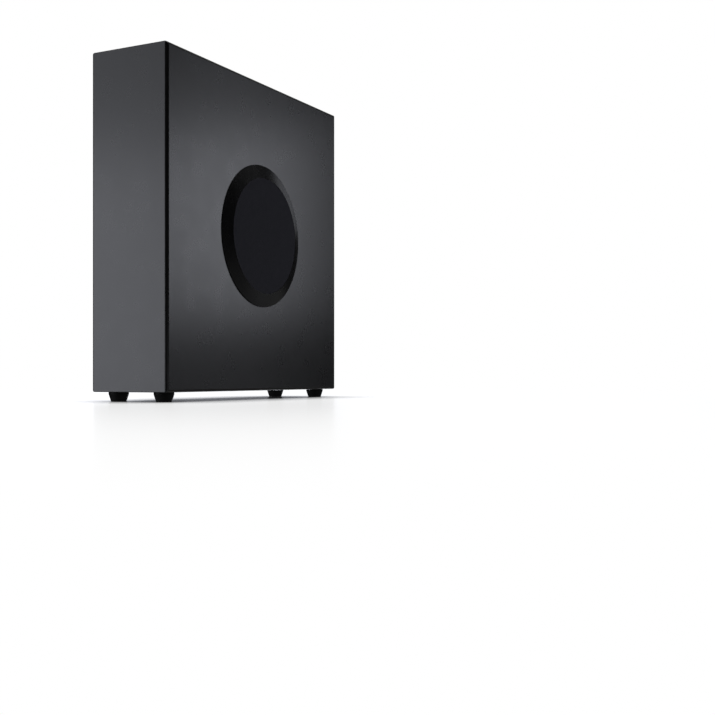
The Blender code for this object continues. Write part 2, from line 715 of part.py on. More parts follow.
def amp_plate():
    """The metal plate that closes the rear opening and carries the controls."""
    def hole(place, loop_maker, *sizes):
        """A loop about a control's place, read relative to the plate's middle."""
        return loop_maker(*sizes, x=place[0], y=place[1] - PLATE_Z)

    loops = [
        rectangle(PLATE_WIDTH, PLATE_HEIGHT, PLATE_CORNER),
        hole(KNOB_AT, circle, 0.0038, SMALL_STEPS),
        hole(LED_AT, circle, 0.0018, SCREW_STEPS),
        hole(BUTTON_AT, circle, 0.0026, SCREW_STEPS),
        hole(JACK_AT, circle, 0.0046, SMALL_STEPS),
        hole(SLIDER_AT, rectangle, 0.0090, 0.0040),
        hole(ROCKER_AT, rectangle, 0.0134, 0.0196),
        hole(INLET_AT, rectangle, 0.0216, 0.0136),
    ]
    for place in plate_screw_places():
        loops.append(hole(place, circle, PLATE_HOLE_RADIUS, SCREW_STEPS))
    middle = (PLATE_BACK + PLATE_FRONT) / 2
    flat_piece("amp_plate", loops, PLATE_THICKNESS, PLATE_PAINT, (0, middle, PLATE_Z), FLAT_TO_REAR)


def amp_gasket():
    """The foam seal under the plate's edge, holed for the screws."""
    low, high = PLATE_SEAT + GAP, PLATE_BACK - GAP
    inner_w = PLATE_WIDTH - 2 * PLATE_LANDING
    inner_h = PLATE_HEIGHT - 2 * PLATE_LANDING
    loops = [rectangle(PLATE_WIDTH, PLATE_HEIGHT, PLATE_CORNER), rectangle(inner_w, inner_h)]
    for x, z in plate_screw_places():
        loops.append(circle(PLATE_HOLE_RADIUS, SCREW_STEPS, x, z - PLATE_Z))
    place = (0, (low + high) / 2, PLATE_Z)
    flat_piece("amp_gasket", loops, high - low, FOAM, place, FLAT_TO_REAR)


def plate_screws():
    """Four screws that hold the plate to the rear panel."""
    section = screw_section(PLATE_FRONT + GAP, 0.0030, 0.0016, 0.0016, 0.012)
    for index, (x, z) in enumerate(plate_screw_places(), 1):
        turned_on_rear(f"plate_screw_{index}", section, BLACK_SCREW, SCREW_STEPS, x, z)


def housing(name, place, body, bezel, back, finish):
    """A snap-in housing: a bezel on the plate and a body behind it; sizes are (x, z)."""
    x, z = place
    front = PLATE_FRONT + GAP
    part = block(name, (x - body[0] / 2, back, z - body[1] / 2),
                 (x + body[0] / 2, front + 0.0008, z + body[1] / 2), finish)
    rim = box_mesh(f"{name}_bezel", (bezel[0], 0.0015, bezel[1]))
    boolean(part, add_cutter(rim.name, rim, (x, front + 0.00075, z)), "UNION")
    return part


def mains_inlet():
    """A two-pole mains inlet with its figure-of-eight recess."""
    x, z = INLET_AT
    part = housing("mains_inlet", INLET_AT, (0.0210, 0.0130), (0.0250, 0.0170), 0.186,
                   GLOSS_PLASTIC)
    floor, mouth = PLATE_FRONT - 0.0105, PLATE_FRONT + 0.006
    lobe_offset, lobe_radius, half_waist = 0.0040, 0.0041, 0.0033
    for side in (-1, 1):
        boolean(part, bore_along_y(f"inlet_lobe_{side}", lobe_radius, floor, mouth,
                                   x + side * lobe_offset, z, SMALL_STEPS))
    boolean(part, box_cutter("inlet_waist", (x - lobe_offset, floor, z - half_waist),
                             (x + lobe_offset, mouth, z + half_waist)))


def power_rocker():
    """The mains switch: a housing with an open front, and the rocker on its pivot."""
    x, z = ROCKER_AT
    part = housing("rocker_housing", ROCKER_AT, (0.0128, 0.0190), (0.0150, 0.0212), 0.187,
                   GLOSS_PLASTIC)
    boolean(part, box_cutter("rocker_well", (x - 0.0054, PIVOT_Y - 0.0046, z - 0.0085),
                             (x + 0.0054, PIVOT_Y + 0.010, z + 0.0085)))
    loop = [
        (0.0036, 0.0076), (-0.0005, 0.0070), (-0.0030, 0.0045), (-0.0030, -0.0045),
        (-0.0005, -0.0070), (0.0036, -0.0076), (0.0026, 0.0),
    ]
    turn = Matrix.Rotation(ROCKER_TILT, 3, "X") @ SECTION_ACROSS_X
    flat_piece("power_rocker", [loop], 0.0098, GLOSS_PLASTIC, (x, PIVOT_Y, z), turn.to_euler())


def level_control():
    """The level potentiometer, its shaft, and the knob with a pointer notch."""
    x, z = KNOB_AT
    pot = block("level_pot", (x - 0.008, CONTROL_FACE + GAP, z - 0.008),
                (x + 0.008, PLATE_BACK - GAP, z + 0.008), ZINC, 0.0006)
    boolean(pot, bore_along_y("pot_bore", SHAFT_RADIUS + GAP, CONTROL_FACE + 0.004,
                              PLATE_BACK + 0.004, x, z, SMALL_STEPS))
    tip = HALF_DEPTH + REAR_REACH
    shaft_tip, shaft_foot = tip - 0.0021, CONTROL_FACE + 0.0045
    shaft = [(0, shaft_tip), (SHAFT_RADIUS, shaft_tip), (SHAFT_RADIUS, shaft_foot), (0, shaft_foot)]
    turned_on_rear("pot_shaft", shaft, ALUMINIUM, SMALL_STEPS, x, z)
    foot = PLATE_FRONT + GAP
    bore, bore_end = SHAFT_RADIUS + GAP, tip - 0.0018
    section = [
        (0, tip), (KNOB_RADIUS - 0.0012, tip), (KNOB_RADIUS - 0.0005, tip - 0.0006),
        (KNOB_RADIUS, foot + 0.0010), (KNOB_RADIUS, foot), (bore, foot),
        (bore, bore_end), (0, bore_end),
    ]
    knob = turned_on_rear("level_knob", section, GLOSS_PLASTIC, SMALL_STEPS + 4, x, z)
    boolean(knob, box_cutter("knob_notch", (x - 0.0005, tip - 0.0006, z + 0.0030),
                             (x + 0.0005, tip + 0.002, z + KNOB_RADIUS + 0.002)))


def phase_control():
    """The phase switch's body and the slider in its slot, at the end of its travel."""
    x, z = SLIDER_AT
    body = block("phase_switch", (x - 0.0075, CONTROL_FACE + GAP, z - 0.0040),
                 (x + 0.0075, PLATE_BACK - GAP, z + 0.0040), ZINC)
    slot_floor = PLATE_BACK - 0.0040
    boolean(body, box_cutter("phase_slot", (x - 0.0044, slot_floor, z - 0.0019),
                             (x + 0.0044, PLATE_BACK + 0.004, z + 0.0019)))
    middle = x - SLIDER_TRAVEL / 2
    block("phase_slider", (middle - 0.0019, slot_floor + GAP, z - 0.0015),
          (middle + 0.0019, PLATE_FRONT + 0.0016, z + 0.0015), GLOSS_PLASTIC, 0.0003)


def pair_control():
    """The pairing button with its long stem, and the tactile switch that it presses."""
    x, z = BUTTON_AT
    tact = block("tact_switch", (x - 0.0030, CONTROL_FACE + GAP, z - 0.0030),
                 (x + 0.0030, CONTROL_FACE + 0.0046, z + 0.0030), GLOSS_PLASTIC)
    boolean(tact, bore_along_y("tact_hole", 0.0018, CONTROL_FACE + 0.0016, CONTROL_FACE + 0.010,
                               x, z, SCREW_STEPS))
    top = PLATE_FRONT + 0.0008
    stem_end = CONTROL_FACE + 0.0028
    head, collar, stem = 0.0022, 0.0033, 0.0014
    collar_top, collar_foot = PLATE_BACK - 0.0004, PLATE_BACK - 0.0016
    section = [
        (0, top), (head - 0.0004, top), (head, top - 0.0004), (head, collar_top),
        (collar, collar_top), (collar, collar_foot), (stem, collar_foot),
        (stem, stem_end), (0, stem_end),
    ]
    turned_on_rear("pair_button", section, GLOSS_PLASTIC, SCREW_STEPS + 4, x, z)


def status_led():
    """A light pipe with a domed end through the plate."""
    x, z = LED_AT
    radius = 0.0015
    shoulder = PLATE_FRONT + 0.0002
    dome = arc((0, shoulder), (radius, 0.0009), 90, 0, 3)
    dome[0] = (0.0, shoulder + 0.0009)
    section = dome + [(radius, CONTROL_FACE + GAP), (0, CONTROL_FACE + GAP)]
    turned_on_rear("status_led", section, LIGHT_PIPE, SCREW_STEPS, x, z)


def line_in_jack():
    """A phono socket: a body on the board and a barrel with its centre bore."""
    x, z = JACK_AT
    tip = PLATE_FRONT + 0.0070
    barrel, body, bore = 0.0041, 0.0065, 0.0018
    top, foot, floor = PLATE_BACK - GAP, CONTROL_FACE + GAP, PLATE_BACK - 0.003
    section = [(barrel - 0.0005, tip), (barrel, tip - 0.0005), (barrel, top), (body, top),
               (body, foot), (0, foot)]
    bore_section = [(0, floor), (bore, floor), (bore, tip)]
    turned_on_rear("line_in_jack", bore_section + section, ZINC, SMALL_STEPS, x, z)


def circuit_boards():
    """The control board behind the plate, and the amplifier board with its large parts."""
    half, top = 0.030, 0.224
    block("control_board", (-half, CONTROL_FACE - PCB, 0.148), (half, CONTROL_FACE, top), PCB_GREEN)
    block("amp_board", (-half, AMP_FACE, 0.056), (half, AMP_FACE + PCB, top), PCB_GREEN)
    face = AMP_FACE - GAP
    core = block("transformer", (-0.024, face - 0.018, 0.062), (0.010, face, 0.094), FERRITE, 0.0008)
    bobbin = box_mesh("transformer_winding", (0.022, 0.024, 0.022))
    boolean(core, add_cutter(bobbin.name, bobbin, (-0.007, face - 0.013, 0.078)), "UNION")
    can_radius, can_top = 0.009, face - 0.030
    capacitor = [
        (0, can_top), (can_radius - 0.0012, can_top), (can_radius, can_top + 0.0012),
        (can_radius, face), (0, face),
    ]
    turned_on_rear("main_capacitor", capacitor, CAPACITOR, SMALL_STEPS, -0.016, 0.112)
    module = block("wireless_module", (-0.026, face - 0.0010, 0.190), (0.000, face, 0.216),
                   PCB_GREEN)
    shield = box_mesh("wireless_shield", (0.018, 0.0024, 0.016))
    boolean(module, add_cutter(shield.name, shield, (-0.013, face - 0.0018, 0.200)), "UNION")


def heatsink():
    """An extruded comb of fins that stands on the amplifier board."""
    fins, pitch, fin = 5, 0.0050, 0.0018
    base, height = 0.0035, 0.022
    width = (fins - 1) * pitch + fin
    loop = [(-width / 2, 0.0), (width / 2, 0.0)]
    for index in range(fins):
        right = width / 2 - index * pitch
        loop += [(right, height), (right - fin, height)]
        if index < fins - 1:
            loop += [(right - fin, base), (right - pitch, base)]
    place = (0.014, AMP_FACE - GAP, 0.145)
    flat_piece("heatsink", [loop], 0.050, ALUMINIUM, place, (math.pi, 0, 0))


def speaker_cable():
    """The two-core lead from the amplifier board, through the brace, to the terminal strip."""
    route = [
        (0.0340, 0.0702, MIDDLE_Z), (0.0335, 0.0760, MIDDLE_Z), (0.0270, 0.0880, MIDDLE_Z - 0.002),
        (0.0210, 0.1060, MIDDLE_Z - 0.006), (0.0190, 0.1300, MIDDLE_Z - 0.010),
        (0.0190, 0.1520, MIDDLE_Z - 0.010), (0.0190, AMP_FACE - 2 * GAP, MIDDLE_Z - 0.010),
    ]
    curve = bpy.data.curves.new("speaker_cable", "CURVE")
    curve.dimensions = "3D"
    curve.bevel_depth = 0.0011
    curve.bevel_resolution = 2
    curve.use_fill_caps = True
    points = smooth_route(route, 4)
    spline = curve.splines.new("POLY")
    spline.points.add(len(points) - 1)
    for point, place in zip(spline.points, points):
        point.co = (*place, 1.0)
    add_part("speaker_cable", curve, CABLE)


# --- Build -----------------------------------------------------------------------------------

for leftover in list(bpy.data.objects):
    bpy.data.objects.remove(leftover, do_unlink=True)

PARTS = bpy.data.collections.new("slim_subwoofer")
CUTTERS = bpy.data.collections.new("cutters")
bpy.context.scene.collection.children.link(PARTS)
bpy.context.scene.collection.children.link(CUTTERS)

SHIFT = bpy.data.objects.new("footprint_centre", None)
SHIFT.location = (-COVER_RISE / 2, -REAR_REACH / 2, 0)
PARTS.objects.link(SHIFT)

VINYL = material("black_vinyl", (0.020, 0.020, 0.022), 0.42)
MDF = material("mdf", (0.42, 0.30, 0.19), 0.85)
WADDING = material("wadding", (0.80, 0.80, 0.78), 0.95)
SATIN_PLASTIC = material("satin_black_plastic", (0.016, 0.016, 0.018), 0.45)
GLOSS_PLASTIC = material("black_plastic", (0.022, 0.022, 0.024), 0.30)
RUBBER = material("black_rubber", (0.018, 0.018, 0.018), 0.75)
CLOTH = material("black_acoustic_cloth", (0.014, 0.014, 0.016), 0.90)
STEEL = material("black_steel", (0.030, 0.030, 0.032), 0.40, 0.6)
ZINC = material("zinc_plate", (0.60, 0.60, 0.58), 0.35, 1.0)
ALUMINIUM = material("aluminium", (0.75, 0.75, 0.76), 0.30, 1.0)
FERRITE = material("ferrite", (0.060, 0.060, 0.062), 0.65)
COPPER = material("copper_wire", (0.72, 0.36, 0.18), 0.35, 1.0)
SPIDER_CLOTH = material("spider_cloth", (0.62, 0.50, 0.28), 0.85)
CONE_PAPER = material("black_paper", (0.022, 0.022, 0.024), 0.70)
PHENOLIC = material("phenolic_board", (0.28, 0.14, 0.06), 0.60)
FOAM = material("black_foam", (0.030, 0.030, 0.030), 0.95)
PLATE_PAINT = material("black_painted_plate", (0.020, 0.020, 0.021), 0.50, 0.2)
BLACK_SCREW = material("blackened_screw", (0.040, 0.040, 0.042), 0.35, 0.8)
PCB_GREEN = material("circuit_board", (0.020, 0.120, 0.045), 0.40)
CAPACITOR = material("capacitor_sleeve", (0.015, 0.020, 0.050), 0.35)
LIGHT_PIPE = material("light_pipe", (0.60, 0.75, 0.90), 0.15)
CABLE = material("cable_sheath", (0.150, 0.020, 0.018), 0.50)

vinyl_wrap()
side_panel("plain_side_panel", -1)
baffle_panel()
mitred_panel("bottom_panel", 0)
mitred_panel("top_panel", 2)
mitred_panel("front_panel", 3)
rear_panel()
window_brace()
damping_wadding()
reflex_port()
rubber_feet()
badge()

basket()
basket_gasket()
motor()
voice_coil()
spider()
cone_and_cap()
surround()
terminal_strip()
woofer_screws()

trim_ring()
grille_frame()
grille_cloth()

amp_plate()
amp_gasket()
plate_screws()
mains_inlet()
power_rocker()
level_control()
phase_control()
pair_control()
status_led()
line_in_jack()
circuit_boards()
heatsink()
speaker_cable()
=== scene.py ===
"""Looks of a slim active subwoofer that stands upright on four rubber feet.

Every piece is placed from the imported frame's own boxes. The woofer side faces +X, the narrow
front faces -Y, and the rear with the amplifier's plate faces +Y.
"""

import json
import math

import bmesh
import bpy
from mathutils import Matrix, Vector, noise


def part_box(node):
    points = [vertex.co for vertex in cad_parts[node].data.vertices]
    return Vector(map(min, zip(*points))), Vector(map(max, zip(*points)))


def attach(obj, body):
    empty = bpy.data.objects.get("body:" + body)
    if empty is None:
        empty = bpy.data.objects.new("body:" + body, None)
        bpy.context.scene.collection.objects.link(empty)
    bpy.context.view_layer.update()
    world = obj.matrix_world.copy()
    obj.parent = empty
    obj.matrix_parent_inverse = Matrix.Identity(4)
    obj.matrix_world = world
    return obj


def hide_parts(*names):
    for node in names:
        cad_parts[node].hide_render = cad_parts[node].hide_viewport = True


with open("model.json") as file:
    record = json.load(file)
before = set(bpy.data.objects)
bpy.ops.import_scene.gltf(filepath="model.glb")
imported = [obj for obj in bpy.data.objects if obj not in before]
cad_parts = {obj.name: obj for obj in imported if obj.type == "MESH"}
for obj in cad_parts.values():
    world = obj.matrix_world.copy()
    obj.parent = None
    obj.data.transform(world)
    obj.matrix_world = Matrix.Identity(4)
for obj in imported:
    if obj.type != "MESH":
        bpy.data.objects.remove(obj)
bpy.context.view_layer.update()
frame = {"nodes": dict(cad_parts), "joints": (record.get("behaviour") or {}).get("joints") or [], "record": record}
scene = bpy.context.scene

# --- Sizes and places ------------------------------------------------------------------------

MM = 0.001
X, Y, Z = 0, 1, 2

SIDE_EDGE_RADIUS = 4.0 * MM         # round edge along each large side face
FOLD_RADIUS = 0.8 * MM              # folded edge between front, top, rear and bottom
WRAP_THICKNESS = 0.5 * MM
ROUND_STEPS = 192                   # facets round the largest turned pieces
SMALL_STEPS = 64

WRAP_LOW, WRAP_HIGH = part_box("vinyl_wrap")
RING_LOW, RING_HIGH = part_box("trim_ring")
PLATE_LOW, PLATE_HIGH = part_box("amp_plate")
PLATE_FACE = PLATE_HIGH.y


def middle(node):
    """The middle of a CAD node's box."""
    low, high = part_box(node)
    return (low + high) / 2


# --- Camera, world, lights and floor ---------------------------------------------------------

VIEW_AZIMUTH = math.radians(27.26)  # camera axis, turned from the front towards the woofer side
VIEW_DISTANCE = 1.4991              # along that axis, from the middle of the cabinet
VIEW_ASIDE = 0.1820                 # to the right of it
VIEW_HEIGHT = 0.032                 # above the floor
VIEW_LENS = 54.38                   # mm
# small enough to keep the whole object in every other view
VIEW_SHIFT = 0.0257                 # a small vertical shift of the frame
SOFTBOX_TINT = (0.975, 1.0, 1.09)   # slightly cool daylight

# Strength of the room against a direction's height (z), each pair of bounds with its two strengths
CEILING = (0.74, 0.98, 0.014, 0.70)
GROUND = (-0.30, -0.70, 0.0, 0.14)
# Level bands of light in the room: heights where each starts, is full, fades and ends, and its glow
ROOM_BANDS = (
    (-0.07, -0.15, -0.26, -0.40, 0.15),
    (0.50, 0.56, 0.58, 0.66, 0.50),
)

FLOOR_REACH = 20.0
SHADOW_REACH = 0.09                 # how far the contact shadow spreads on the floor
SHADOW_POWER = 1.6
SHEEN_ROUGHNESS = 0.22
SHEEN_FADE = (0.25, 1.25, 0.22, 0.0)    # distances from the origin, then the sheen's share at each
WALL_SIZE = (12.0, 6.0)             # four bright walls that light the floor's sheen and nothing else
WALL_ELEVATION = 20
WALL_DISTANCE = 5.0
WALL_RADIANCE = 1.25

# Name, azimuth, elevation, distance, (width, height) and watts. Black vinyl shows little but what
# it reflects, so each softbox stands where one face or one view mirrors it.
SOFTBOXES = (
    ("front_light", -38, -2, 1.55, (0.90, 0.80), 5.0),
    ("front_high_light", -38, 22, 1.68, (0.90, 0.70), 1.95),
    ("woofer_light", 140.0, 8.4, 1.6, (0.48, 0.52), 1.68),
    ("woofer_high_light", 139.5, 22.5, 1.8, (0.46, 0.22), 0.20),
    ("woofer_low_light", 139.5, -12, 1.6, (0.50, 0.34), 0.13),
    ("front_low_light", 4, -12, 1.6, (0.70, 0.60), 0.45),
    ("side_low_light", 84, -17, 1.6, (0.80, 0.64), 0.9),
    ("rear_light", 186, 18, 1.6, (1.00, 0.50), 0.75),
    ("rear_low_light", 202, -15, 1.6, (0.95, 0.50), 3.2),
)


def camera():
    """A level camera near the floor, looking past the near edge of the cabinet."""
    back = Vector((math.sin(VIEW_AZIMUTH), -math.cos(VIEW_AZIMUTH), 0))
    right = Vector((math.cos(VIEW_AZIMUTH), math.sin(VIEW_AZIMUTH), 0))
    place = middle("vinyl_wrap") + back * VIEW_DISTANCE + right * VIEW_ASIDE
    data = bpy.data.cameras.new("camera")
    data.lens = VIEW_LENS
    data.shift_y = VIEW_SHIFT
    made = bpy.data.objects.new("camera", data)
    made.location = (place.x, place.y, VIEW_HEIGHT)
    made.rotation_euler = (math.pi / 2, 0, VIEW_AZIMUTH)
    scene.collection.objects.link(made)
    scene.camera = made


def softbox(name, azimuth, elevation, distance, size, watts, only_for=None):
    """A soft light that faces the cabinet; azimuth 0 is at the front and 90 at the woofer side."""
    a, e = math.radians(azimuth), math.radians(elevation)
    out = Vector((math.sin(a) * math.cos(e), -math.cos(a) * math.cos(e), math.sin(e)))
    data = bpy.data.lights.new(name, "AREA")
    data.shape = "RECTANGLE"
    data.size, data.size_y = size
    data.energy = watts
    data.color = SOFTBOX_TINT
    made = bpy.data.objects.new(name, data)
    made.location = middle("vinyl_wrap") + out * distance
    made.rotation_euler = out.to_track_quat("Z", "Y").to_euler()
    made.visible_camera = False
    if only_for:
        made.light_linking.receiver_collection = only_for
    scene.collection.objects.link(made)


def calc(tree, operation, *values):
    """The output of a Math node on numbers or sockets."""
    node = tree.nodes.new("ShaderNodeMath")
    node.operation = operation
    for socket, value in zip(node.inputs, values):
        if isinstance(value, (int, float)):
            socket.default_value = value
        else:
            tree.links.new(value, socket)
    return node.outputs[0]


def eased(tree, value, start, end, low=0.0, high=1.0):
    """A smooth step of a value from low at start to high at end."""
    node = tree.nodes.new("ShaderNodeMapRange")
    node.interpolation_type = "SMOOTHSTEP"
    tree.links.new(value, node.inputs["Value"])
    node.inputs["From Min"].default_value = start
    node.inputs["From Max"].default_value = end
    node.inputs["To Min"].default_value = low
    node.inputs["To Max"].default_value = high
    return node.outputs["Result"]


def studio_world():
    """White behind everything, and for the light a dim room with soft bands, ceiling and ground."""
    world = bpy.data.worlds.new("studio")
    world.use_nodes = True
    scene.world = world
    tree = world.node_tree
    tree.nodes.clear()
    direction = tree.nodes.new("ShaderNodeTexCoord").outputs["Generated"]
    split = tree.nodes.new("ShaderNodeSeparateXYZ")
    tree.links.new(direction, split.inputs[0])
    height = split.outputs["Z"]
    room = eased(tree, height, *CEILING)
    for start, full, fade, end, glow in ROOM_BANDS:
        rise = eased(tree, height, start, full, 0.0, glow)
        fall = eased(tree, height, fade, end, 1.0, 0.0)
        room = calc(tree, "ADD", room, calc(tree, "MULTIPLY", rise, fall))
    room = calc(tree, "ADD", room, eased(tree, height, *GROUND))
    seen = tree.nodes.new("ShaderNodeLightPath").outputs["Is Camera Ray"]
    strength = calc(tree, "MAXIMUM", seen, room)
    background = tree.nodes.new("ShaderNodeBackground")
    background.inputs["Color"].default_value = (1, 1, 1, 1)
    tree.links.new(strength, background.inputs["Strength"])
    output = tree.nodes.new("ShaderNodeOutputWorld")
    tree.links.new(background.outputs[0], output.inputs["Surface"])


def studio_floor():
    """A plain white floor with a soft contact shadow and a faint sheen near the object."""
    stage = bpy.data.collections.new("stage")
    scene.collection.children.link(stage)
    mesh = bpy.data.meshes.new("floor")
    bm = bmesh.new()
    bmesh.ops.create_grid(bm, x_segments=1, y_segments=1, size=FLOOR_REACH)
    bm.to_mesh(mesh)
    bm.free()
    floor = bpy.data.objects.new("floor", mesh)
    stage.objects.link(floor)
    floor.visible_glossy = False
    floor.visible_diffuse = False
    floor.visible_shadow = False

    paint = bpy.data.materials.new("floor")
    paint.use_nodes = True
    tree = paint.node_tree
    tree.nodes.clear()
    shade = tree.nodes.new("ShaderNodeAmbientOcclusion")
    shade.samples = 8
    shade.inputs["Distance"].default_value = SHADOW_REACH
    open_share = calc(tree, "POWER", shade.outputs["AO"], SHADOW_POWER)
    glow = tree.nodes.new("ShaderNodeEmission")
    tree.links.new(open_share, glow.inputs["Strength"])
    sheen = tree.nodes.new("ShaderNodeBsdfGlossy")
    sheen.inputs["Roughness"].default_value = SHEEN_ROUGHNESS
    away = tree.nodes.new("ShaderNodeVectorMath")
    away.operation = "LENGTH"
    tree.links.new(tree.nodes.new("ShaderNodeTexCoord").outputs["Object"], away.inputs[0])
    mix = tree.nodes.new("ShaderNodeMixShader")
    tree.links.new(eased(tree, away.outputs["Value"], *SHEEN_FADE), mix.inputs["Fac"])
    tree.links.new(glow.outputs[0], mix.inputs[1])
    tree.links.new(sheen.outputs[0], mix.inputs[2])
    output = tree.nodes.new("ShaderNodeOutputMaterial")
    tree.links.new(mix.outputs[0], output.inputs["Surface"])
    mesh.materials.append(paint)

    wall_watts = WALL_RADIANCE * math.pi * WALL_SIZE[0] * WALL_SIZE[1]
    for azimuth in (0, 90, 180, 270):
        softbox(f"wall_{azimuth}", azimuth, WALL_ELEVATION, WALL_DISTANCE, WALL_SIZE, wall_watts, stage)


camera()
studio_world()
studio_floor()
for settings in SOFTBOXES:
    softbox(*settings)
scene.view_settings.view_transform = "Standard"


# --- Finishes --------------------------------------------------------------------------------

def pattern(tree, kind, size, stretch=(1, 1, 1), **settings):
    """A texture whose features are about size metres across, fixed to the piece itself."""
    place = tree.nodes.new("ShaderNodeTexCoord")
    mapping = tree.nodes.new("ShaderNodeMapping")
    mapping.inputs["Scale"].default_value = [share / size for share in stretch]
    tree.links.new(place.outputs["Object"], mapping.inputs["Vector"])
    node = tree.nodes.new(f"ShaderNodeTex{kind}")
    tree.links.new(mapping.outputs[0], node.inputs["Vector"])
    node.inputs["Scale"].default_value = 1.0
    for setting, value in settings.items():
        if setting in node.inputs:
            node.inputs[setting].default_value = value
        else:
            setattr(node, setting, value)
    return node.outputs[0]


def raised(tree, height, depth, below=None):
    """A Bump node over an optional lower one."""
    node = tree.nodes.new("ShaderNodeBump")
    node.inputs["Distance"].default_value = depth
    tree.links.new(height, node.inputs["Height"])
    if below:
        tree.links.new(below, node.inputs["Normal"])
    return node.outputs[0]


def two_tone(tree, share, dark, light):
    """A colour between two tones, each given as a tone or as another colour's socket."""
    node = tree.nodes.new("ShaderNodeMix")
    node.data_type = "RGBA"
    tree.links.new(share, node.inputs["Factor"])
    for socket, tone in (("A_Color", dark), ("B_Color", light)):
        found = [s for s in node.inputs if s.identifier == socket][0]
        if isinstance(tone, tuple):
            found.default_value = (*tone, 1.0)
        else:
            tree.links.new(tone, found)
    return [s for s in node.outputs if s.identifier == "Result_Color"][0]


def finish(name, dark, light, roughness, patch=0.02, grain=(), metallic=0.0, **sockets):
    """A surface with drifting tone and gloss over one or more layers of fine relief.

    Each layer of grain is (kind of texture, size, depth) or has a stretch as its fourth value.
    """
    made = bpy.data.materials.new(name)
    made.use_nodes = True
    tree = made.node_tree
    shader = tree.nodes["Principled BSDF"]
    shader.inputs["Metallic"].default_value = metallic
    for socket, value in sockets.items():
        shader.inputs[socket.replace("_", " ")].default_value = value
    drift = pattern(tree, "Noise", patch, Detail=5.0, Roughness=0.6)
    tones = two_tone(tree, eased(tree, drift, 0.3, 0.7), dark, light)
    tree.links.new(tones, shader.inputs["Base Color"])
    smear = pattern(tree, "Noise", patch * 0.6, Detail=4.0)
    tree.links.new(eased(tree, smear, 0.25, 0.75, *roughness), shader.inputs["Roughness"])
    normal = None
    for kind, size, depth, *stretch in grain:
        height = pattern(tree, kind, size, *stretch, **({"Detail": 3.0} if kind == "Noise" else {}))
        normal = raised(tree, height, depth, normal)
    if normal:
        tree.links.new(normal, shader.inputs["Normal"])
    return made


def woven(name, dark, light, pitch, across, along, depth, **sockets):
    """A plain weave of round threads in the plane of two axes, with painted shade in the dips between threads."""
    made = finish(name, dark, light, (0.85, 0.95), patch=0.01, **sockets)
    tree = made.node_tree
    shader = tree.nodes["Principled BSDF"]
    split = tree.nodes.new("ShaderNodeSeparateXYZ")
    tree.links.new(tree.nodes.new("ShaderNodeTexCoord").outputs["Object"], split.inputs[0])
    lifts = []
    for first, second, phase in ((across, along, 0.0), (along, across, 1.0)):
        u = calc(tree, "DIVIDE", split.outputs[first], pitch)
        v = calc(tree, "DIVIDE", split.outputs[second], pitch)
        thread = calc(tree, "ABSOLUTE", calc(tree, "COSINE", calc(tree, "MULTIPLY", u, math.pi)))
        wave_place = calc(tree, "ADD", calc(tree, "ADD", v, calc(tree, "ROUND", u)), phase)
        wave = calc(tree, "COSINE", calc(tree, "MULTIPLY", wave_place, math.pi))
        over = calc(tree, "MULTIPLY_ADD", wave, 0.5, 0.5)
        lifts.append(calc(tree, "MULTIPLY", thread, over))
    height = calc(tree, "MAXIMUM", *lifts)
    tree.links.new(raised(tree, height, depth), shader.inputs["Normal"])
    # Base colour is darker where the threads dip: painted shade in the gaps between them.
    gap_shade = eased(tree, height, 0.05, 0.65)
    tree.links.new(two_tone(tree, gap_shade, dark, light), shader.inputs["Base Color"])
    return made


def grey(value, blue=1.06):
    """A near-neutral tone, slightly blue by default."""
    return (value, value, value * blue)


def banded(name, dark, light, pitch, axis, depth, **sockets):
    """Wire wound side by side: round bands across one axis."""
    made = finish(name, dark, light, (0.28, 0.40), patch=0.004, **sockets)
    tree = made.node_tree
    split = tree.nodes.new("ShaderNodeSeparateXYZ")
    tree.links.new(tree.nodes.new("ShaderNodeTexCoord").outputs["Object"], split.inputs[0])
    wave = calc(tree, "SINE", calc(tree, "MULTIPLY", split.outputs[axis], 2 * math.pi / pitch))
    normal = raised(tree, calc(tree, "MULTIPLY_ADD", wave, 0.5, 0.5), depth)
    tree.links.new(normal, tree.nodes["Principled BSDF"].inputs["Normal"])
    return made


def circuit(name):
    """Green solder mask over a mesh of tracks, which stand out lighter and a little raised."""
    made = finish(name, (0.010, 0.070, 0.028), (0.014, 0.090, 0.036), (0.28, 0.38), patch=0.01)
    tree = made.node_tree
    shader = tree.nodes["Principled BSDF"]
    edge = pattern(tree, "Voronoi", 0.0045, feature="DISTANCE_TO_EDGE")
    track = eased(tree, edge, 0.10, 0.06)
    greens = two_tone(tree, track, (0.011, 0.075, 0.030), (0.030, 0.190, 0.080))
    tree.links.new(greens, shader.inputs["Base Color"])
    tree.links.new(raised(tree, track, 0.03 * MM), shader.inputs["Normal"])
    return made


def stained(made, axis, start, tone):
    """The same board with its machined face sealed in black beyond a place on one axis."""
    copy = made.copy()
    copy.name = f"{made.name}_sealed"
    tree = copy.node_tree
    shader = tree.nodes["Principled BSDF"]
    bare = shader.inputs["Base Color"].links[0].from_socket
    split = tree.nodes.new("ShaderNodeSeparateXYZ")
    tree.links.new(tree.nodes.new("ShaderNodeTexCoord").outputs["Object"], split.inputs[0])
    sealed = eased(tree, split.outputs[axis], start, start + 0.2 * MM)
    tree.links.new(two_tone(tree, sealed, bare, tone), shader.inputs["Base Color"])
    return copy


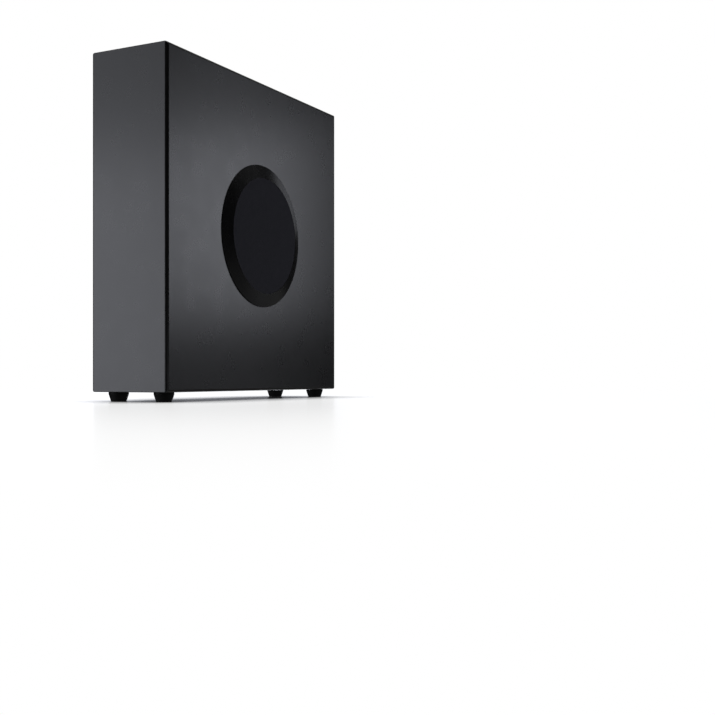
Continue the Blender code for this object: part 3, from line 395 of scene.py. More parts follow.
BRUSHED = (1.0, 0.02, 1.0)
FINISHES = {
    "black_vinyl": finish(
        "black_vinyl", grey(0.0022), grey(0.0032), (0.27, 0.29), 0.05,
        [("Noise", 3.0 * MM, 0.002 * MM), ("Noise", 0.5 * MM, 0.001 * MM)],
        Specular_IOR_Level=0.6),
    "mdf": finish(
        "mdf", (0.30, 0.20, 0.12), (0.42, 0.30, 0.19), (0.80, 0.92), 0.008,
        [("Noise", 0.6 * MM, 0.05 * MM), ("Noise", 2.5 * MM, 0.03 * MM, (1, 0.25, 1))]),
    "wadding": finish(
        "wadding", (0.66, 0.66, 0.64), (0.86, 0.86, 0.84), (0.92, 1.0), 0.004,
        [("Noise", 3.0 * MM, 0.8 * MM, (0.3, 1, 1)), ("Noise", 0.8 * MM, 0.3 * MM, (1, 1, 0.2))],
        Sheen_Weight=0.4),
    "satin_black_plastic": finish(
        "satin_black_plastic", grey(0.0028), grey(0.0038), (0.24, 0.28), 0.015,
        [("Noise", 0.30 * MM, 0.003 * MM), ("Voronoi", 0.8 * MM, 0.002 * MM)],
        Specular_IOR_Level=0.32),
    "satin_aluminium": finish(
        "satin_aluminium", (0.58, 0.58, 0.60), (0.68, 0.68, 0.70), (0.26, 0.36), 0.006,
        [("Noise", 0.5 * MM, 0.006 * MM, (0.03, 1, 1))], metallic=1.0, Anisotropic=0.4),
    "black_rubber": finish(
        "black_rubber", grey(0.0035, 1.0), grey(0.0065, 1.0), (0.52, 0.64), 0.006,
        [("Noise", 0.35 * MM, 0.012 * MM), ("Voronoi", 1.4 * MM, 0.008 * MM)],
        Specular_IOR_Level=0.18),
    "black_steel": finish(
        "black_steel", grey(0.022), grey(0.030), (0.35, 0.48), 0.01,
        [("Noise", 0.7 * MM, 0.02 * MM)], metallic=0.3),
    "black_foam": finish(
        "black_foam", grey(0.012, 1.0), grey(0.040, 1.0), (0.92, 1.0), 0.0008,
        [("Voronoi", 0.9 * MM, 0.35 * MM)]),
    "zinc_plate": finish(
        "zinc_plate", (0.50, 0.50, 0.48), (0.66, 0.66, 0.63), (0.26, 0.42), 0.004,
        [("Noise", 0.4 * MM, 0.006 * MM, BRUSHED)], metallic=1.0),
    "ferrite": finish(
        "ferrite", grey(0.035, 1.0), grey(0.065, 1.0), (0.55, 0.75), 0.005,
        [("Noise", 0.3 * MM, 0.015 * MM), ("Voronoi", 2.0 * MM, 0.02 * MM)]),
    "aluminium": finish(
        "aluminium", (0.66, 0.66, 0.67), (0.80, 0.80, 0.81), (0.24, 0.36), 0.006,
        [("Noise", 0.4 * MM, 0.008 * MM, (0.05, 1, 1))], metallic=1.0),
    "copper_wire": banded(
        "copper_wire", (0.55, 0.24, 0.11), (0.78, 0.40, 0.21), 0.25 * MM, X, 0.06 * MM,
        metallic=1.0, Coat_Weight=0.5),
    "spider_cloth": woven(
        "spider_cloth", (0.28, 0.21, 0.10), (0.60, 0.47, 0.25), 0.7 * MM, Y, Z, 0.12 * MM),
    "black_paper": finish(
        "black_paper", grey(0.012), grey(0.024), (0.62, 0.78), 0.004,
        [("Noise", 1.2 * MM, 0.05 * MM), ("Noise", 0.3 * MM, 0.02 * MM)]),
    "phenolic_board": finish(
        "phenolic_board", (0.20, 0.10, 0.04), (0.32, 0.17, 0.07), (0.45, 0.60), 0.003,
        [("Noise", 0.5 * MM, 0.02 * MM, (1, 1, 0.1))]),
    "black_acoustic_cloth": woven(
        "black_acoustic_cloth", grey(0.0055), grey(0.0540, 1.28), 0.85 * MM, Y, Z, 0.16 * MM,
        Specular_IOR_Level=0.25),
    "black_painted_plate": finish(
        "black_painted_plate", grey(0.012, 1.02), grey(0.018, 1.02), (0.42, 0.52), 0.008,
        [("Voronoi", 0.55 * MM, 0.035 * MM), ("Noise", 0.25 * MM, 0.012 * MM)],
        Specular_IOR_Level=0.7),
    "blackened_screw": finish(
        "blackened_screw", grey(0.020), grey(0.045), (0.28, 0.42), 0.0015,
        [("Noise", 0.25 * MM, 0.006 * MM)], metallic=0.8),
    "black_plastic": finish(
        "black_plastic", grey(0.012), grey(0.017), (0.24, 0.32), 0.006,
        [("Noise", 0.5 * MM, 0.003 * MM)]),
    "light_pipe": finish(
        "light_pipe", (0.55, 0.70, 0.86), (0.68, 0.80, 0.92), (0.06, 0.14), 0.002,
        [("Noise", 0.8 * MM, 0.004 * MM)], Transmission_Weight=0.55, IOR=1.49),
    "circuit_board": circuit("circuit_board"),
    "capacitor_sleeve": finish(
        "capacitor_sleeve", (0.010, 0.014, 0.038), (0.018, 0.025, 0.060), (0.22, 0.34), 0.005,
        [("Noise", 1.5 * MM, 0.02 * MM, (1, 0.2, 1))], Coat_Weight=0.3),
    "cable_sheath": finish(
        "cable_sheath", (0.11, 0.012, 0.010), (0.17, 0.022, 0.019), (0.38, 0.52), 0.004,
        [("Noise", 0.6 * MM, 0.01 * MM)]),
}
WHITE_PRINT = finish(
    "white_print", (0.50, 0.50, 0.49), (0.66, 0.66, 0.64), (0.55, 0.68), 0.002,
    [("Noise", 0.15 * MM, 0.01 * MM)])
IVORY_PLASTIC = finish(
    "ivory_plastic", (0.60, 0.58, 0.50), (0.72, 0.70, 0.62), (0.30, 0.40), 0.003,
    [("Noise", 0.4 * MM, 0.004 * MM)])

for part in frame["record"]["subparts"]:
    node = frame["nodes"][part["node"]]
    node.data.materials.clear()
    node.data.materials.append(FINISHES[part["material_slot"]])
# The rear panel's outermost 5 mm show in the gaps round the plate and the port, sealed in black
frame["nodes"]["rear_panel"].material_slots[0].material = stained(
    FINISHES["mdf"], Y, WRAP_HIGH.y - 5.0 * MM, grey(0.012))


# --- Shapes ----------------------------------------------------------------------------------

def taken(blank):
    """The evaluated mesh of a helper object, which is then removed."""
    bpy.context.view_layer.update()
    evaluated = blank.evaluated_get(bpy.context.evaluated_depsgraph_get())
    mesh = bpy.data.meshes.new_from_object(evaluated)
    bpy.data.objects.remove(blank)
    return mesh


def worked(mesh, *steps):
    """The mesh after a row of modifiers, each given as (type, settings)."""
    blank = bpy.data.objects.new("blank", mesh)
    scene.collection.objects.link(blank)
    for kind, settings in steps:
        modifier = blank.modifiers.new(kind.lower(), kind)
        for setting, value in settings.items():
            setattr(modifier, setting, value)
    return taken(blank)


def merged(mesh, operation, *others):
    """The mesh joined with others, or cut by them."""
    helpers = []
    for other in others:
        helper = bpy.data.objects.new("helper", other)
        scene.collection.objects.link(helper)
        helpers.append(helper)
    steps = [("BOOLEAN", {"operation": operation, "object": helper}) for helper in helpers]
    result = worked(mesh, *steps)
    for helper in helpers:
        bpy.data.objects.remove(helper)
    return result


def piece(name, mesh, slot=None, body="cabinet", replaces=(), paint=None, sharp=32):
    """Put a finished mesh in the scene with its finish, shade it, hang it from its body and hide the CAD nodes it
    replaces.
    """
    mesh.materials.clear()
    mesh.materials.append(paint or FINISHES[slot])
    mesh.shade_smooth()
    mesh.set_sharp_from_angle(angle=math.radians(sharp))
    shaded = worked(mesh, ("WEIGHTED_NORMAL", {"keep_sharp": True, "weight": 100}))
    made = bpy.data.objects.new(name, shaded)
    scene.collection.objects.link(made)
    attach(made, body)
    if replaces:
        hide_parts(*replaces)
    return made


def rounded(corners, steps=4):
    """A closed outline of (u, v, radius) corners, each rounded by its own radius."""
    points = []
    befores, afters = corners[-1:] + corners[:-1], corners[1:] + corners[:1]
    for before, corner, after in zip(befores, corners, afters):
        here, radius = Vector(corner[:2]), corner[2]
        if not radius:
            points.append(here)
            continue
        back = (Vector(before[:2]) - here).normalized()
        ahead = (Vector(after[:2]) - here).normalized()
        half = back.angle(ahead) / 2
        centre = here + (back + ahead).normalized() * radius / math.sin(half)
        start = here + back * radius / math.tan(half) - centre
        end = here + ahead * radius / math.tan(half) - centre
        arms = [start.slerp(end, step / steps).normalized() for step in range(steps + 1)]
        points += [centre + arm * radius for arm in arms]
    return points


def lathe(section, centre, axis, steps=ROUND_STEPS):
    """Turn a closed section of (radius, place on the axis) points about an axis through centre."""
    side, up = (axis + 1) % 3, (axis + 2) % 3
    bm = bmesh.new()
    rings = []
    for index in range(steps):
        turn = 2 * math.pi * index / steps
        ring = []
        for radius, along in section:
            place = Vector(centre)
            place[axis] = along
            place[side] += radius * math.cos(turn)
            place[up] += radius * math.sin(turn)
            ring.append(bm.verts.new(place))
        rings.append(ring)
    for ring, following in zip(rings, rings[1:] + rings[:1]):
        for index, vertex in enumerate(ring):
            bm.faces.new((vertex, ring[index - 1], following[index - 1], following[index]))
    return closed(bm)


def closed(bm):
    """Weld a bmesh, turn its faces outward and return it as a mesh."""
    bmesh.ops.remove_doubles(bm, verts=bm.verts, dist=0.000002)
    bmesh.ops.recalc_face_normals(bm, faces=bm.faces)
    mesh = bpy.data.meshes.new("shape")
    bm.to_mesh(mesh)
    bm.free()
    return mesh


def ring_of(radius, steps=SMALL_STEPS, u=0.0, v=0.0):
    """A round loop about (u, v)."""
    turns = [2 * math.pi * index / steps for index in range(steps)]
    return [(u + radius * math.cos(turn), v + radius * math.sin(turn)) for turn in turns]


def frame_of(width, height, radius, u=0.0, v=0.0, steps=6):
    """A rectangle about (u, v) with round corners."""
    w, h = width / 2, height / 2
    corners = ((1, 1), (-1, 1), (-1, -1), (1, -1))
    return rounded([(u + side * w, v + end * h, radius) for side, end in corners], steps)


SLAB_TURNS = {
    X: Matrix(((0, 0, 1), (1, 0, 0), (0, 1, 0))),
    Y: Matrix(((1, 0, 0), (0, 0, -1), (0, 1, 0))),
    Z: Matrix.Identity(3),
}


def slab(loops, low, high, place, axis=Y, bevel=0.0):
    """A flat outline with holes, as thick as low to high along an axis, with its rims rounded.

    Its outlines are (x, z) about place for axis Y, (x, y) for axis Z, and (y, z) for axis X.
    """
    curve = bpy.data.curves.new("slab", "CURVE")
    curve.dimensions = "2D"
    curve.fill_mode = "BOTH"
    curve.extrude = (high - low) / 2 - bevel
    curve.bevel_depth = bevel
    curve.bevel_resolution = 2
    curve.offset = -bevel
    for loop in loops:
        spline = curve.splines.new("POLY")
        spline.points.add(len(loop) - 1)
        for point, (u, v) in zip(spline.points, loop):
            point.co = (u, v, 0.0, 1.0)
        spline.use_cyclic_u = True
    flat = bpy.data.objects.new("slab", curve)
    scene.collection.objects.link(flat)
    mesh = taken(flat)
    where = Vector(place)
    where[axis] = (low + high) / 2
    mesh.transform(Matrix.Translation(where) @ SLAB_TURNS[axis].to_4x4())
    bm = bmesh.new()
    bm.from_mesh(mesh)
    return closed(bm)


def block(low, high, bevel=0.0):
    """A box between two corners, with its edges rounded where a bevel is given."""
    bm = bmesh.new()
    bmesh.ops.create_cube(bm, size=1.0)
    bmesh.ops.scale(bm, vec=Vector(high) - Vector(low), verts=bm.verts)
    bmesh.ops.translate(bm, vec=(Vector(low) + Vector(high)) / 2, verts=bm.verts)
    if bevel:
        bmesh.ops.bevel(bm, geom=bm.edges[:], offset=bevel, segments=3, profile=0.5, affect="EDGES")
    return closed(bm)


# --- Cabinet ---------------------------------------------------------------------------------

def wrap_skin():
    """The vinyl over the whole box, with finely rounded edges and its three openings."""
    mesh = block(WRAP_LOW, WRAP_HIGH)
    weights = mesh.attributes.new("bevel_weight_edge", "FLOAT", "EDGE")
    for edge in mesh.edges:
        a, b = (mesh.vertices[index].co for index in edge.vertices)
        along_x = abs(a.x - b.x) > WRAP_THICKNESS
        weights.data[edge.index].value = FOLD_RADIUS / SIDE_EDGE_RADIUS if along_x else 1.0
    mesh = worked(
        mesh,
        ("BEVEL", {"limit_method": "WEIGHT", "width": SIDE_EDGE_RADIUS, "segments": 10}),
        ("SOLIDIFY", {"thickness": WRAP_THICKNESS, "offset": -1.0, "use_even_offset": True}),
    )
    port, plate, ring = middle("reflex_port"), middle("amp_plate"), middle("trim_ring")
    size = PLATE_HIGH - PLATE_LOW
    plate_gap, corner = 1.0 * MM, 3.5 * MM
    woofer_hole = ring_of(85.5 * MM, ROUND_STEPS)
    port_hole = ring_of(36.8 * MM, SMALL_STEPS)
    plate_hole = frame_of(size.x + plate_gap, size.z + plate_gap, corner)
    rear, side, deep = WRAP_HIGH.y, WRAP_HIGH.x, 3 * MM
    mesh = merged(
        mesh, "DIFFERENCE",
        slab([woofer_hole], side - deep, side + deep, ring, X),
        slab([port_hole], rear - deep, rear + deep, port),
        slab([plate_hole], rear - deep, rear + deep, plate),
    )
    piece("wrap_skin", mesh, "black_vinyl", replaces=["vinyl_wrap"])


def cover_ring():
    """The shallow sloped ring round the woofer's cloth."""
    cloth_low, cloth_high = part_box("grille_cloth")
    outer = (RING_HIGH.y - RING_LOW.y) / 2
    foot, top = RING_LOW.x, RING_HIGH.x
    flange = outer - 9.0 * MM
    rim = foot + 0.6 * MM
    seat = (cloth_high.y - cloth_low.y) / 2 + 0.3 * MM
    lip = seat + 0.2 * MM
    wall = seat + 1.8 * MM
    ledge, ledge_top, ledge_foot = 75.0 * MM, top - 3.0 * MM, top - 4.3 * MM
    section = rounded([
        (outer, rim, 0.25 * MM), (outer, foot, 0), (flange, foot, 0), (wall, ledge_top, 0),
        (wall, ledge_foot, 0), (ledge, ledge_foot, 0), (ledge, ledge_top, 0), (seat, ledge_top, 0),
        (seat, top - 0.1 * MM, 0), (lip, top, 0.1 * MM),
    ])
    piece("cover_ring", lathe(section, middle("trim_ring"), X), "satin_black_plastic",
          replaces=["trim_ring"])


def cover_cloth():
    """The acoustic cloth, stretched flush with the ring's lip and turned down at its edge."""
    low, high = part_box("grille_cloth")
    radius = (high.y - low.y) / 2
    turn_down = 0.35 * MM
    rings = 24
    outline = rounded([(radius, low.x, 0), (radius, high.x, turn_down), (0, high.x, 0), (0, low.x, 0)])
    rim = [point for point in outline if point[0] > 0]
    face = [(radius * ring / rings, high.x) for ring in range(rings - 1, -1, -1)]
    section = rim + face + [(0, low.x)]
    cloth = piece("cover_cloth", lathe(section, middle("grille_cloth"), X), "black_acoustic_cloth",
                  replaces=["grille_cloth"])


def rubber_feet():
    """Tapered feet with a soft lower edge and a shallow hollow underneath."""
    for end in ("front", "rear"):
        for side in ("plain", "woofer"):
            node = f"rubber_foot_{end}_{side}"
            low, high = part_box(node)
            top_radius = (high.x - low.x) / 2
            bottom_radius = top_radius - 3.0 * MM
            shoulder = high.z - 2.5 * MM
            hollow, hollow_roof = 4.5 * MM, low.z + 1.2 * MM
            section = rounded([
                (top_radius, high.z, 0), (top_radius, shoulder, 0.5 * MM),
                (bottom_radius, low.z, 1.0 * MM), (hollow, low.z, 0.3 * MM),
                (hollow - 1.0 * MM, hollow_roof, 0.3 * MM), (0, hollow_roof, 0), (0, high.z, 0),
            ])
            mesh = lathe(section, middle(node), Z, SMALL_STEPS)
            piece(f"foot_{end}_{side}", mesh, "black_rubber", replaces=[node])


def port_tube():
    """The flared port with a rolled rim on the rear face."""
    low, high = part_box("reflex_port")
    outer = (high.x - low.x) / 2
    bore, wall, flare = 25.0 * MM, 2.5 * MM, 10.0 * MM
    mouth = WRAP_HIGH.y + 0.3 * MM
    section = rounded([
        (outer, high.y, 1.0 * MM), (outer, mouth, 0.2 * MM), (bore + flare, mouth, 0),
        (bore + wall, mouth - flare, 6.0 * MM), (bore + wall, low.y, 0.4 * MM), (bore, low.y, 0.4 * MM),
    ], 6)
    flare_steps = 16
    for index in range(flare_steps + 1):
        turn = math.radians(180 - 90 * index / flare_steps)
        section.append((bore + flare + flare * math.cos(turn),
                        high.y - flare + flare * math.sin(turn)))
    piece("port_tube", lathe(section, middle("reflex_port"), Y, 128), "satin_black_plastic",
          replaces=["reflex_port"])


def metal_badge():
    """A plain brushed bar on the top, without lettering."""
    low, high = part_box("badge")
    size = high - low
    mesh = slab([frame_of(size.x, size.y, 0.8 * MM)], low.z, high.z, middle("badge"), Z, 0.18 * MM)
    piece("metal_badge", mesh, "satin_aluminium", replaces=["badge"])


def wadding_mat():
    """The polyester mat on the plain side's inner face, with an uneven quilted surface."""
    low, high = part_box("damping_wadding")
    rows, columns = 96, 84
    thick = high.x - low.x
    lumps_per_metre = 60
    rolled_rows = 5                 # rows over which the edge rounds down to the panel
    bm = bmesh.new()
    sheets = []
    for front in (True, False):
        sheet = []
        for row in range(rows + 1):
            line = []
            for column in range(columns + 1):
                y = low.y + (high.y - low.y) * column / columns
                z = low.z + (high.z - low.z) * row / rows
                if front:
                    swell = 0.5 + 0.5 * noise.fractal(Vector((y, z, 0)) * lumps_per_metre, 0.6, 2.1, 4)
                    edge = min(column, columns - column, row, rows - row) / rolled_rows
                    crown = math.sqrt(1 - (1 - min(edge, 1)) ** 2)
                    x = low.x + thick * (0.15 + crown * (0.65 + 0.18 * min(max(swell, 0), 1)))
                else:
                    x = low.x
                line.append(bm.verts.new((x, y, z)))
            sheet.append(line)
        sheets.append(sheet)
    for sheet in sheets:
        for row in range(rows):
            for column in range(columns):
                bm.faces.new((sheet[row][column], sheet[row][column + 1],
                              sheet[row + 1][column + 1], sheet[row + 1][column]))
    border = [(0, column) for column in range(columns)]
    border += [(row, columns) for row in range(rows)]
    border += [(rows, column) for column in range(columns, 0, -1)]
    border += [(row, 0) for row in range(rows, 0, -1)]
    for (r1, c1), (r2, c2) in zip(border, border[1:] + border[:1]):
        bm.faces.new((sheets[0][r1][c1], sheets[0][r2][c2], sheets[1][r2][c2], sheets[1][r1][c1]))
    mat = piece("wadding_mat", closed(bm), "wadding", replaces=["damping_wadding"], sharp=70)


# --- Amplifier plate and controls ------------------------------------------------------------

def amplifier_plate():
    """The painted plate, with softened rims at its outline and at its controls' holes."""
    centre = middle("amp_plate")
    size = PLATE_HIGH - PLATE_LOW
    loops = [frame_of(size.x, size.z, 3.0 * MM)]
    # Each control's hole in mm: its radius, or its width and height
    round_holes = (("level_knob", 3.8), ("status_led", 1.8), ("pair_button", 2.6),
                   ("line_in_jack", 4.6))
    square_holes = (("phase_switch", 9.0, 4.0), ("rocker_housing", 13.4, 19.6),
                    ("mains_inlet", 21.6, 13.6))

    def at(node):
        """A node's place on the plate."""
        place = middle(node)
        return {"u": place.x - centre.x, "v": place.z - centre.z}

    for node, radius in round_holes:
        loops.append(ring_of(radius * MM, 48, **at(node)))
    for node, width, height in square_holes:
        loops.append(frame_of(width * MM, height * MM, 0.5 * MM, **at(node)))
    for index in range(1, 5):
        loops.append(ring_of(2.0 * MM, 32, **at(f"plate_screw_{index}")))
    mesh = slab(loops, PLATE_LOW.y, PLATE_HIGH.y, centre, Y, 0.25 * MM)
    piece("amplifier_plate", mesh, "black_painted_plate", replaces=["amp_plate"])


def cross_head_screws():
    """Pan-head screws with a cross recess, each turned a little differently."""
    for index in range(1, 5):
        node = f"plate_screw_{index}"
        low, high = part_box(node)
        head = (high.x - low.x) / 2
        seat = PLATE_FACE + 0.3 * MM
        shank = 1.6 * MM
        half_arm, half_slot, depth = 1.7 * MM, 0.28 * MM, 0.75 * MM
        section = rounded([
            (0, high.y, 0), (head * 0.55, high.y, 1.2 * MM), (head, high.y - 0.9 * MM, 0.4 * MM),
            (head, seat, 0.1 * MM), (shank, seat, 0), (shank, low.y + shank, 0), (0, low.y, 0),
        ])
        centre = middle(node)
        mesh = lathe(section, centre, Y, 48)
        arms = []
        for turn in (25 * index, 25 * index + 90):
            arm = block((-half_arm, high.y - depth, -half_slot), (half_arm, high.y + 1 * MM, half_slot))
            spin = Matrix.Rotation(math.radians(turn), 4, "Y")
            arm.transform(Matrix.Translation((centre.x, 0, centre.z)) @ spin)
            arms.append(arm)
        mesh = merged(mesh, "DIFFERENCE", *arms)
        piece(f"cross_screw_{index}", mesh, "blackened_screw", replaces=[node])


def bezel(node, body, corner):
    """The front rim and the body of a snap-in housing; body is its (width, height)."""
    low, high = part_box(node)
    centre = middle(node)
    foot = PLATE_FACE + 0.3 * MM
    size = high - low
    rim = slab([frame_of(size.x, size.z, corner)], foot, high.y, centre, Y, 0.4 * MM)
    trunk = slab([frame_of(*body, 0.4 * MM)], low.y, foot + 0.8 * MM, centre)
    return merged(trunk, "UNION", rim)


def power_inlet():
    """The mains inlet with its figure-of-eight recess and two pins."""
    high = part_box("mains_inlet")[1]
    centre = middle("mains_inlet")
    lobe, apart, waist = 4.1 * MM, 4.0 * MM, 3.3 * MM
    lobe_steps = 32
    reach = math.acos(waist / lobe)
    outline = []
    for side in (1, -1):
        for index in range(lobe_steps + 1):
            turn = -math.pi / 2 + reach + (math.pi - 2 * reach) * index / lobe_steps
            turn = turn if side > 0 else turn + math.pi
            outline.append((side * apart + lobe * math.cos(turn), lobe * math.sin(turn)))
    floor = PLATE_FACE - 10.5 * MM
    recess = slab([outline], floor, high.y + 2 * MM, centre)
    mesh = merged(bezel("mains_inlet", (21.0 * MM, 13.0 * MM), 2.2 * MM), "DIFFERENCE", recess)
    piece("power_inlet", mesh, "black_plastic", replaces=["mains_inlet"])
    pin_radius, pin_foot, pin_tip = 1.15 * MM, floor - 1 * MM, PLATE_FACE - 1.8 * MM
    for index, side in enumerate((-1, 1), 1):
        pin = rounded([(pin_radius, pin_foot, 0), (pin_radius, pin_tip, 0.7 * MM),
                       (0, pin_tip, 0), (0, pin_foot, 0)])
        place = centre + Vector((side * apart, 0, 0))
        piece(f"inlet_pin_{index}", lathe(pin, place, Y, 32), "zinc_plate")


def rocker_switch():
    """The mains switch: a bezel with a well, and a dished rocker with its two marks."""
    centre = middle("rocker_housing")
    pivot = Vector([j for j in frame["joints"] if j["name"] == "rocker_tilt"][0]["pos_m"])
    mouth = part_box("rocker_housing")[1].y + 2 * MM
    well = slab([frame_of(10.8 * MM, 17.0 * MM, 0.5 * MM)], pivot.y - 4.6 * MM, mouth, centre)
    mesh = merged(bezel("rocker_housing", (12.8 * MM, 19.0 * MM), 1.6 * MM), "DIFFERENCE", well)
    piece("switch_housing", mesh, "black_plastic", replaces=["rocker_housing"])

    # The cap's outline, in mm about its pivot: how far out its face is, its half height, its dish
    face, half, dish = 3.6, 7.55, 1.0
    rest_angle = math.radians(10)   # half the travel: the cap rests on its on side
    tilt = Matrix.Translation(pivot) @ Matrix.Rotation(rest_angle, 4, "X")
    outline = [(face, half), (-0.5, 7.0), (-3.0, 4.5), (-3.0, -4.5), (-0.5, -7.0), (face, -half)]
    dish_steps = 14
    for index in range(1, dish_steps):
        share = 2 * index / dish_steps - 1
        outline.append((face - dish * (1 - share ** 2), half * share))
    loop = [(y * MM, z * MM) for y, z in outline]
    rocker = slab([loop], -4.9 * MM, 4.9 * MM, (0, 0, 0), X, 0.3 * MM)
    rocker.transform(tilt)
    piece("rocker_cap", rocker, "black_plastic", "rocker", ["power_rocker"])

    stroke, ring_radius = 0.35 * MM, 1.35 * MM
    bar = [frame_of(stroke, 2.8 * MM, 0.15 * MM)]
    ring = [ring_of(ring_radius, 48), ring_of(ring_radius - stroke, 48)]
    for name, loops, height in (("mark_on", bar, 4.6 * MM), ("mark_off", ring, -4.6 * MM)):
        share = height / (half * MM)
        surface = (face - dish * (1 - share ** 2)) * MM
        lean = Matrix.Rotation(-math.atan(2 * dish * share / half), 4, "X")
        mark = slab(loops, -0.12 * MM, 0.05 * MM, (0, 0, 0))
        mark.transform(Matrix.Translation((0, surface, height)) @ lean)
        mark.transform(tilt)
        piece(name, mark, body="rocker", paint=WHITE_PRINT)


def level_knob():
    """A knurled knob with a notch across its face, which holds a white pointer."""
    low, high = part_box("level_knob")
    centre = middle("level_knob")
    radius = (high.x - low.x) / 2
    bore, bore_end = 3.3 * MM, high.y - 1.8 * MM
    section = rounded([
        (0, high.y, 0), (radius - 1.5 * MM, high.y, 0.5 * MM),
        (radius - 0.35 * MM, high.y - 1.0 * MM, 0.3 * MM), (radius, low.y, 0.2 * MM),
        (bore, low.y, 0), (bore, bore_end, 0), (0, bore_end, 0),
    ])
    ribs, per_rib, depth = 36, 8, 0.35 * MM
    mesh = lathe(section, centre, Y, ribs * per_rib)
    for vertex in mesh.vertices:
        across, up = vertex.co.x - centre.x, vertex.co.z - centre.z
        reach = math.hypot(across, up)
        if reach > radius - 0.6 * MM and vertex.co.y < high.y - 0.9 * MM:
            groove = (0.5 - 0.5 * math.cos(ribs * math.atan2(up, across))) ** 3
            shrink = 1 - depth * groove / reach
            vertex.co.x = centre.x + across * shrink
            vertex.co.z = centre.z + up * shrink
    half_notch, half_line = 0.5 * MM, 0.42 * MM
    notch = block((centre.x - half_notch, high.y - 0.5 * MM, centre.z + 2.2 * MM),
                  (centre.x + half_notch, high.y + 1 * MM, centre.z + radius + 1 * MM))
    mesh = merged(mesh, "DIFFERENCE", notch)
    piece("knurled_knob", mesh, "black_plastic", "knob", ["level_knob"], sharp=25)
    line = block((centre.x - half_line, high.y - 0.48 * MM, centre.z + 2.4 * MM),
                 (centre.x + half_line, high.y - 0.15 * MM, centre.z + radius - 1.2 * MM), 0.1 * MM)
    piece("knob_pointer", line, body="knob", paint=WHITE_PRINT)


def slide_switch():
    """The phase slider with three grip grooves."""
    low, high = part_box("phase_slider")
    half_groove, depth, past = 0.2 * MM, 0.35 * MM, 1 * MM
    grooves = []
    for step in (-1, 0, 1):
        x = (low.x + high.x) / 2 + step * 1.0 * MM
        grooves.append(block((x - half_groove, high.y - depth, low.z - past),
                             (x + half_groove, high.y + past, high.z + past)))
    mesh = merged(block(low, high, 0.25 * MM), "DIFFERENCE", *grooves)
    piece("slider_cap", mesh, "black_plastic", "slider", ["phase_slider"])


def push_button():
    """The pairing button with a shallow dished cap."""
    low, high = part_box("pair_button")
    cap, flange, stem = 2.2 * MM, 3.3 * MM, 1.4 * MM
    shoulder = PLATE_LOW.y - 0.4 * MM
    flange_foot = shoulder - 1.2 * MM
    section = rounded([
        (0, high.y - 0.25 * MM, 0), (cap * 0.6, high.y - 0.05 * MM, 1.0 * MM), (cap, high.y, 0.4 * MM),
        (cap, shoulder, 0), (flange, shoulder, 0.2 * MM), (flange, flange_foot, 0.2 * MM),
        (stem, flange_foot, 0), (stem, low.y, 0.2 * MM), (0, low.y, 0),
    ])
    mesh = lathe(section, middle("pair_button"), Y, 48)
    piece("push_button", mesh, "black_plastic", "button", ["pair_button"])


def indicator():
    """The light pipe with its domed end."""
    low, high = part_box("status_led")
    radius, dome, dome_steps = (high.x - low.x) / 2, 0.9 * MM, 8
    section = [(0, low.y), (radius, low.y)]
    for index in range(dome_steps + 1):
        turn = math.radians(90 * index / dome_steps)
        section.append((radius * math.cos(turn), high.y - dome + dome * math.sin(turn)))
    mesh = lathe(section, middle("status_led"), Y, 40)
    piece("indicator_lens", mesh, "light_pipe", replaces=["status_led"])


def phono_socket():
    """The line input: a plated shell, a pale insulator and the hollow centre contact."""
    low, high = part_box("line_in_jack")
    centre = middle("line_in_jack")
    shell, inside, body, contact = 4.1 * MM, 3.45 * MM, 6.5 * MM, 1.75 * MM
    shoulder = PLATE_LOW.y - 0.3 * MM
    floor = low.y + 2 * MM
    section = rounded([
        (shell, high.y, 0.3 * MM), (shell, shoulder, 0), (body, shoulder, 0.3 * MM),
        (body, low.y, 0.3 * MM), (0, low.y, 0), (0, floor, 0), (inside, floor, 0),
        (inside, high.y, 0.2 * MM),
    ])
    mesh = lathe(section, centre, Y, SMALL_STEPS)
    piece("socket_shell", mesh, "zinc_plate", replaces=["line_in_jack"])
    gap = 0.02 * MM
    recess = high.y - 0.9 * MM
    filling = rounded([
        (inside - gap, recess, 0.1 * MM), (inside - gap, floor + gap, 0),
        (contact, floor + gap, 0), (contact, recess, 0.15 * MM),
    ])
    piece("socket_insulator", lathe(filling, centre, Y, SMALL_STEPS), paint=IVORY_PLASTIC)
    bore, tip, tail = contact - 0.3 * MM, recess - 0.4 * MM, shoulder - 3 * MM
    sleeve = rounded([
        (contact - gap, tip, 0.1 * MM), (contact - gap, tail, 0),
        (bore, tail, 0), (bore, tip, 0.1 * MM),
    ])
    piece("socket_contact", lathe(sleeve, centre, Y, 48), "zinc_plate")


def printed(loops, node, du=0.0, dv=0.0, turn=0.0):
    """White print on the plate, moved by (du, dv) from a control and then turned about it."""
    place = middle(node)
    mesh = slab(loops, -0.02 * MM, 0.04 * MM, (0, 0, 0))
    spin = Matrix.Rotation(math.radians(turn), 4, "Y")
    at_control = Matrix.Translation((place.x, PLATE_FACE, place.z))
    mesh.transform(at_control @ spin @ Matrix.Translation((du, 0, dv)))
    return mesh


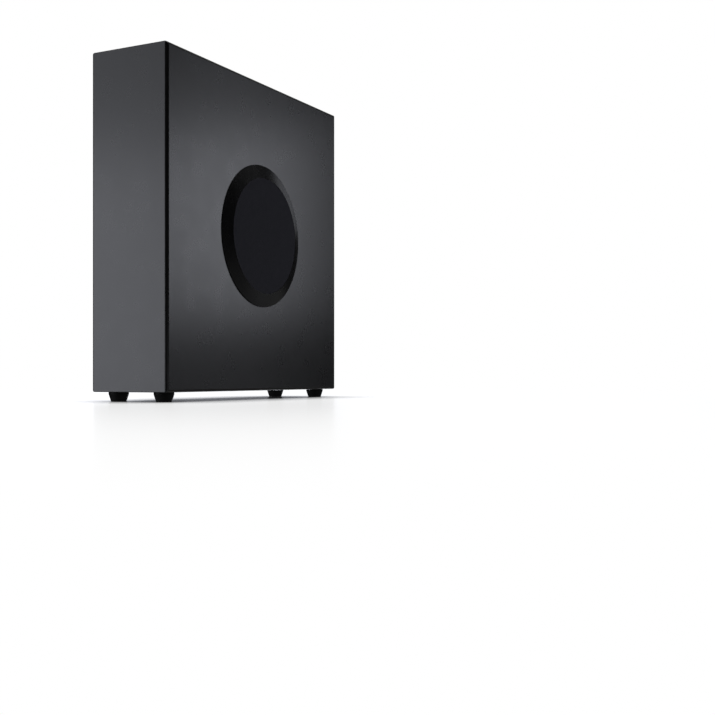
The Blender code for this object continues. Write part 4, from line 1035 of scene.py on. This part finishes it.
def joined(meshes):
    """Several meshes as one."""
    bm = bmesh.new()
    for mesh in meshes:
        bm.from_mesh(mesh)
    result = bpy.data.meshes.new("joined")
    bm.to_mesh(result)
    bm.free()
    return result


def plate_print():
    """The dial's ticks, its plus and minus, and the marks beside the other controls."""
    thin = 0.3 * MM
    dial_radius = 10.2 * MM
    ticks = []
    for turn in range(-150, 151, 30):
        length = (1.8 if turn in (-150, 0, 150) else 1.2) * MM
        stroke = [frame_of(thin, length, 0.1 * MM)]
        ticks.append(printed(stroke, "level_knob", 0, dial_radius + length / 2, turn))
    piece("dial_ticks", joined(ticks), paint=WHITE_PRINT)

    sign, aside, below = 1.8 * MM, 8.6 * MM, -9.8 * MM
    bar = [frame_of(sign, thin, 0.1 * MM)]
    upright = [frame_of(thin, sign, 0.1 * MM)]
    bars = [printed(bar, "level_knob", side * aside, below) for side in (1, -1)]
    piece("level_signs", joined(bars), paint=WHITE_PRINT)
    piece("plus_stroke", printed(upright, "level_knob", -aside, below), paint=WHITE_PRINT)

    outer = [frame_of(4.2 * MM, 4.2 * MM, 0.2 * MM), frame_of(3.6 * MM, 3.6 * MM, 0.1 * MM)]
    inner = [frame_of(2.4 * MM, 2.4 * MM, 0.1 * MM), frame_of(1.8 * MM, 1.8 * MM, 0.05 * MM)]
    squares = [printed(square, "mains_inlet", 18 * MM) for square in (outer, inner)]
    piece("insulation_mark", joined(squares), paint=WHITE_PRINT)

    dot = [ring_of(0.45 * MM, 24)]
    dots = [printed(dot, "phase_switch", side * 6.4 * MM) for side in (-1, 1)]
    piece("phase_dots", joined(dots), paint=WHITE_PRINT)

    rings = []
    for node, radius, steps in (("pair_button", 4.9 * MM, 48), ("line_in_jack", 6.9 * MM, 64)):
        rings.append(printed([ring_of(radius, steps), ring_of(radius - thin, steps)], node))
    piece("control_rings", joined(rings), paint=WHITE_PRINT)


for build in (wrap_skin, cover_ring, cover_cloth, rubber_feet, port_tube, metal_badge, wadding_mat,
              amplifier_plate, cross_head_screws, power_inlet, rocker_switch, level_knob,
              slide_switch, push_button, indicator, phono_socket, plate_print):
    build()
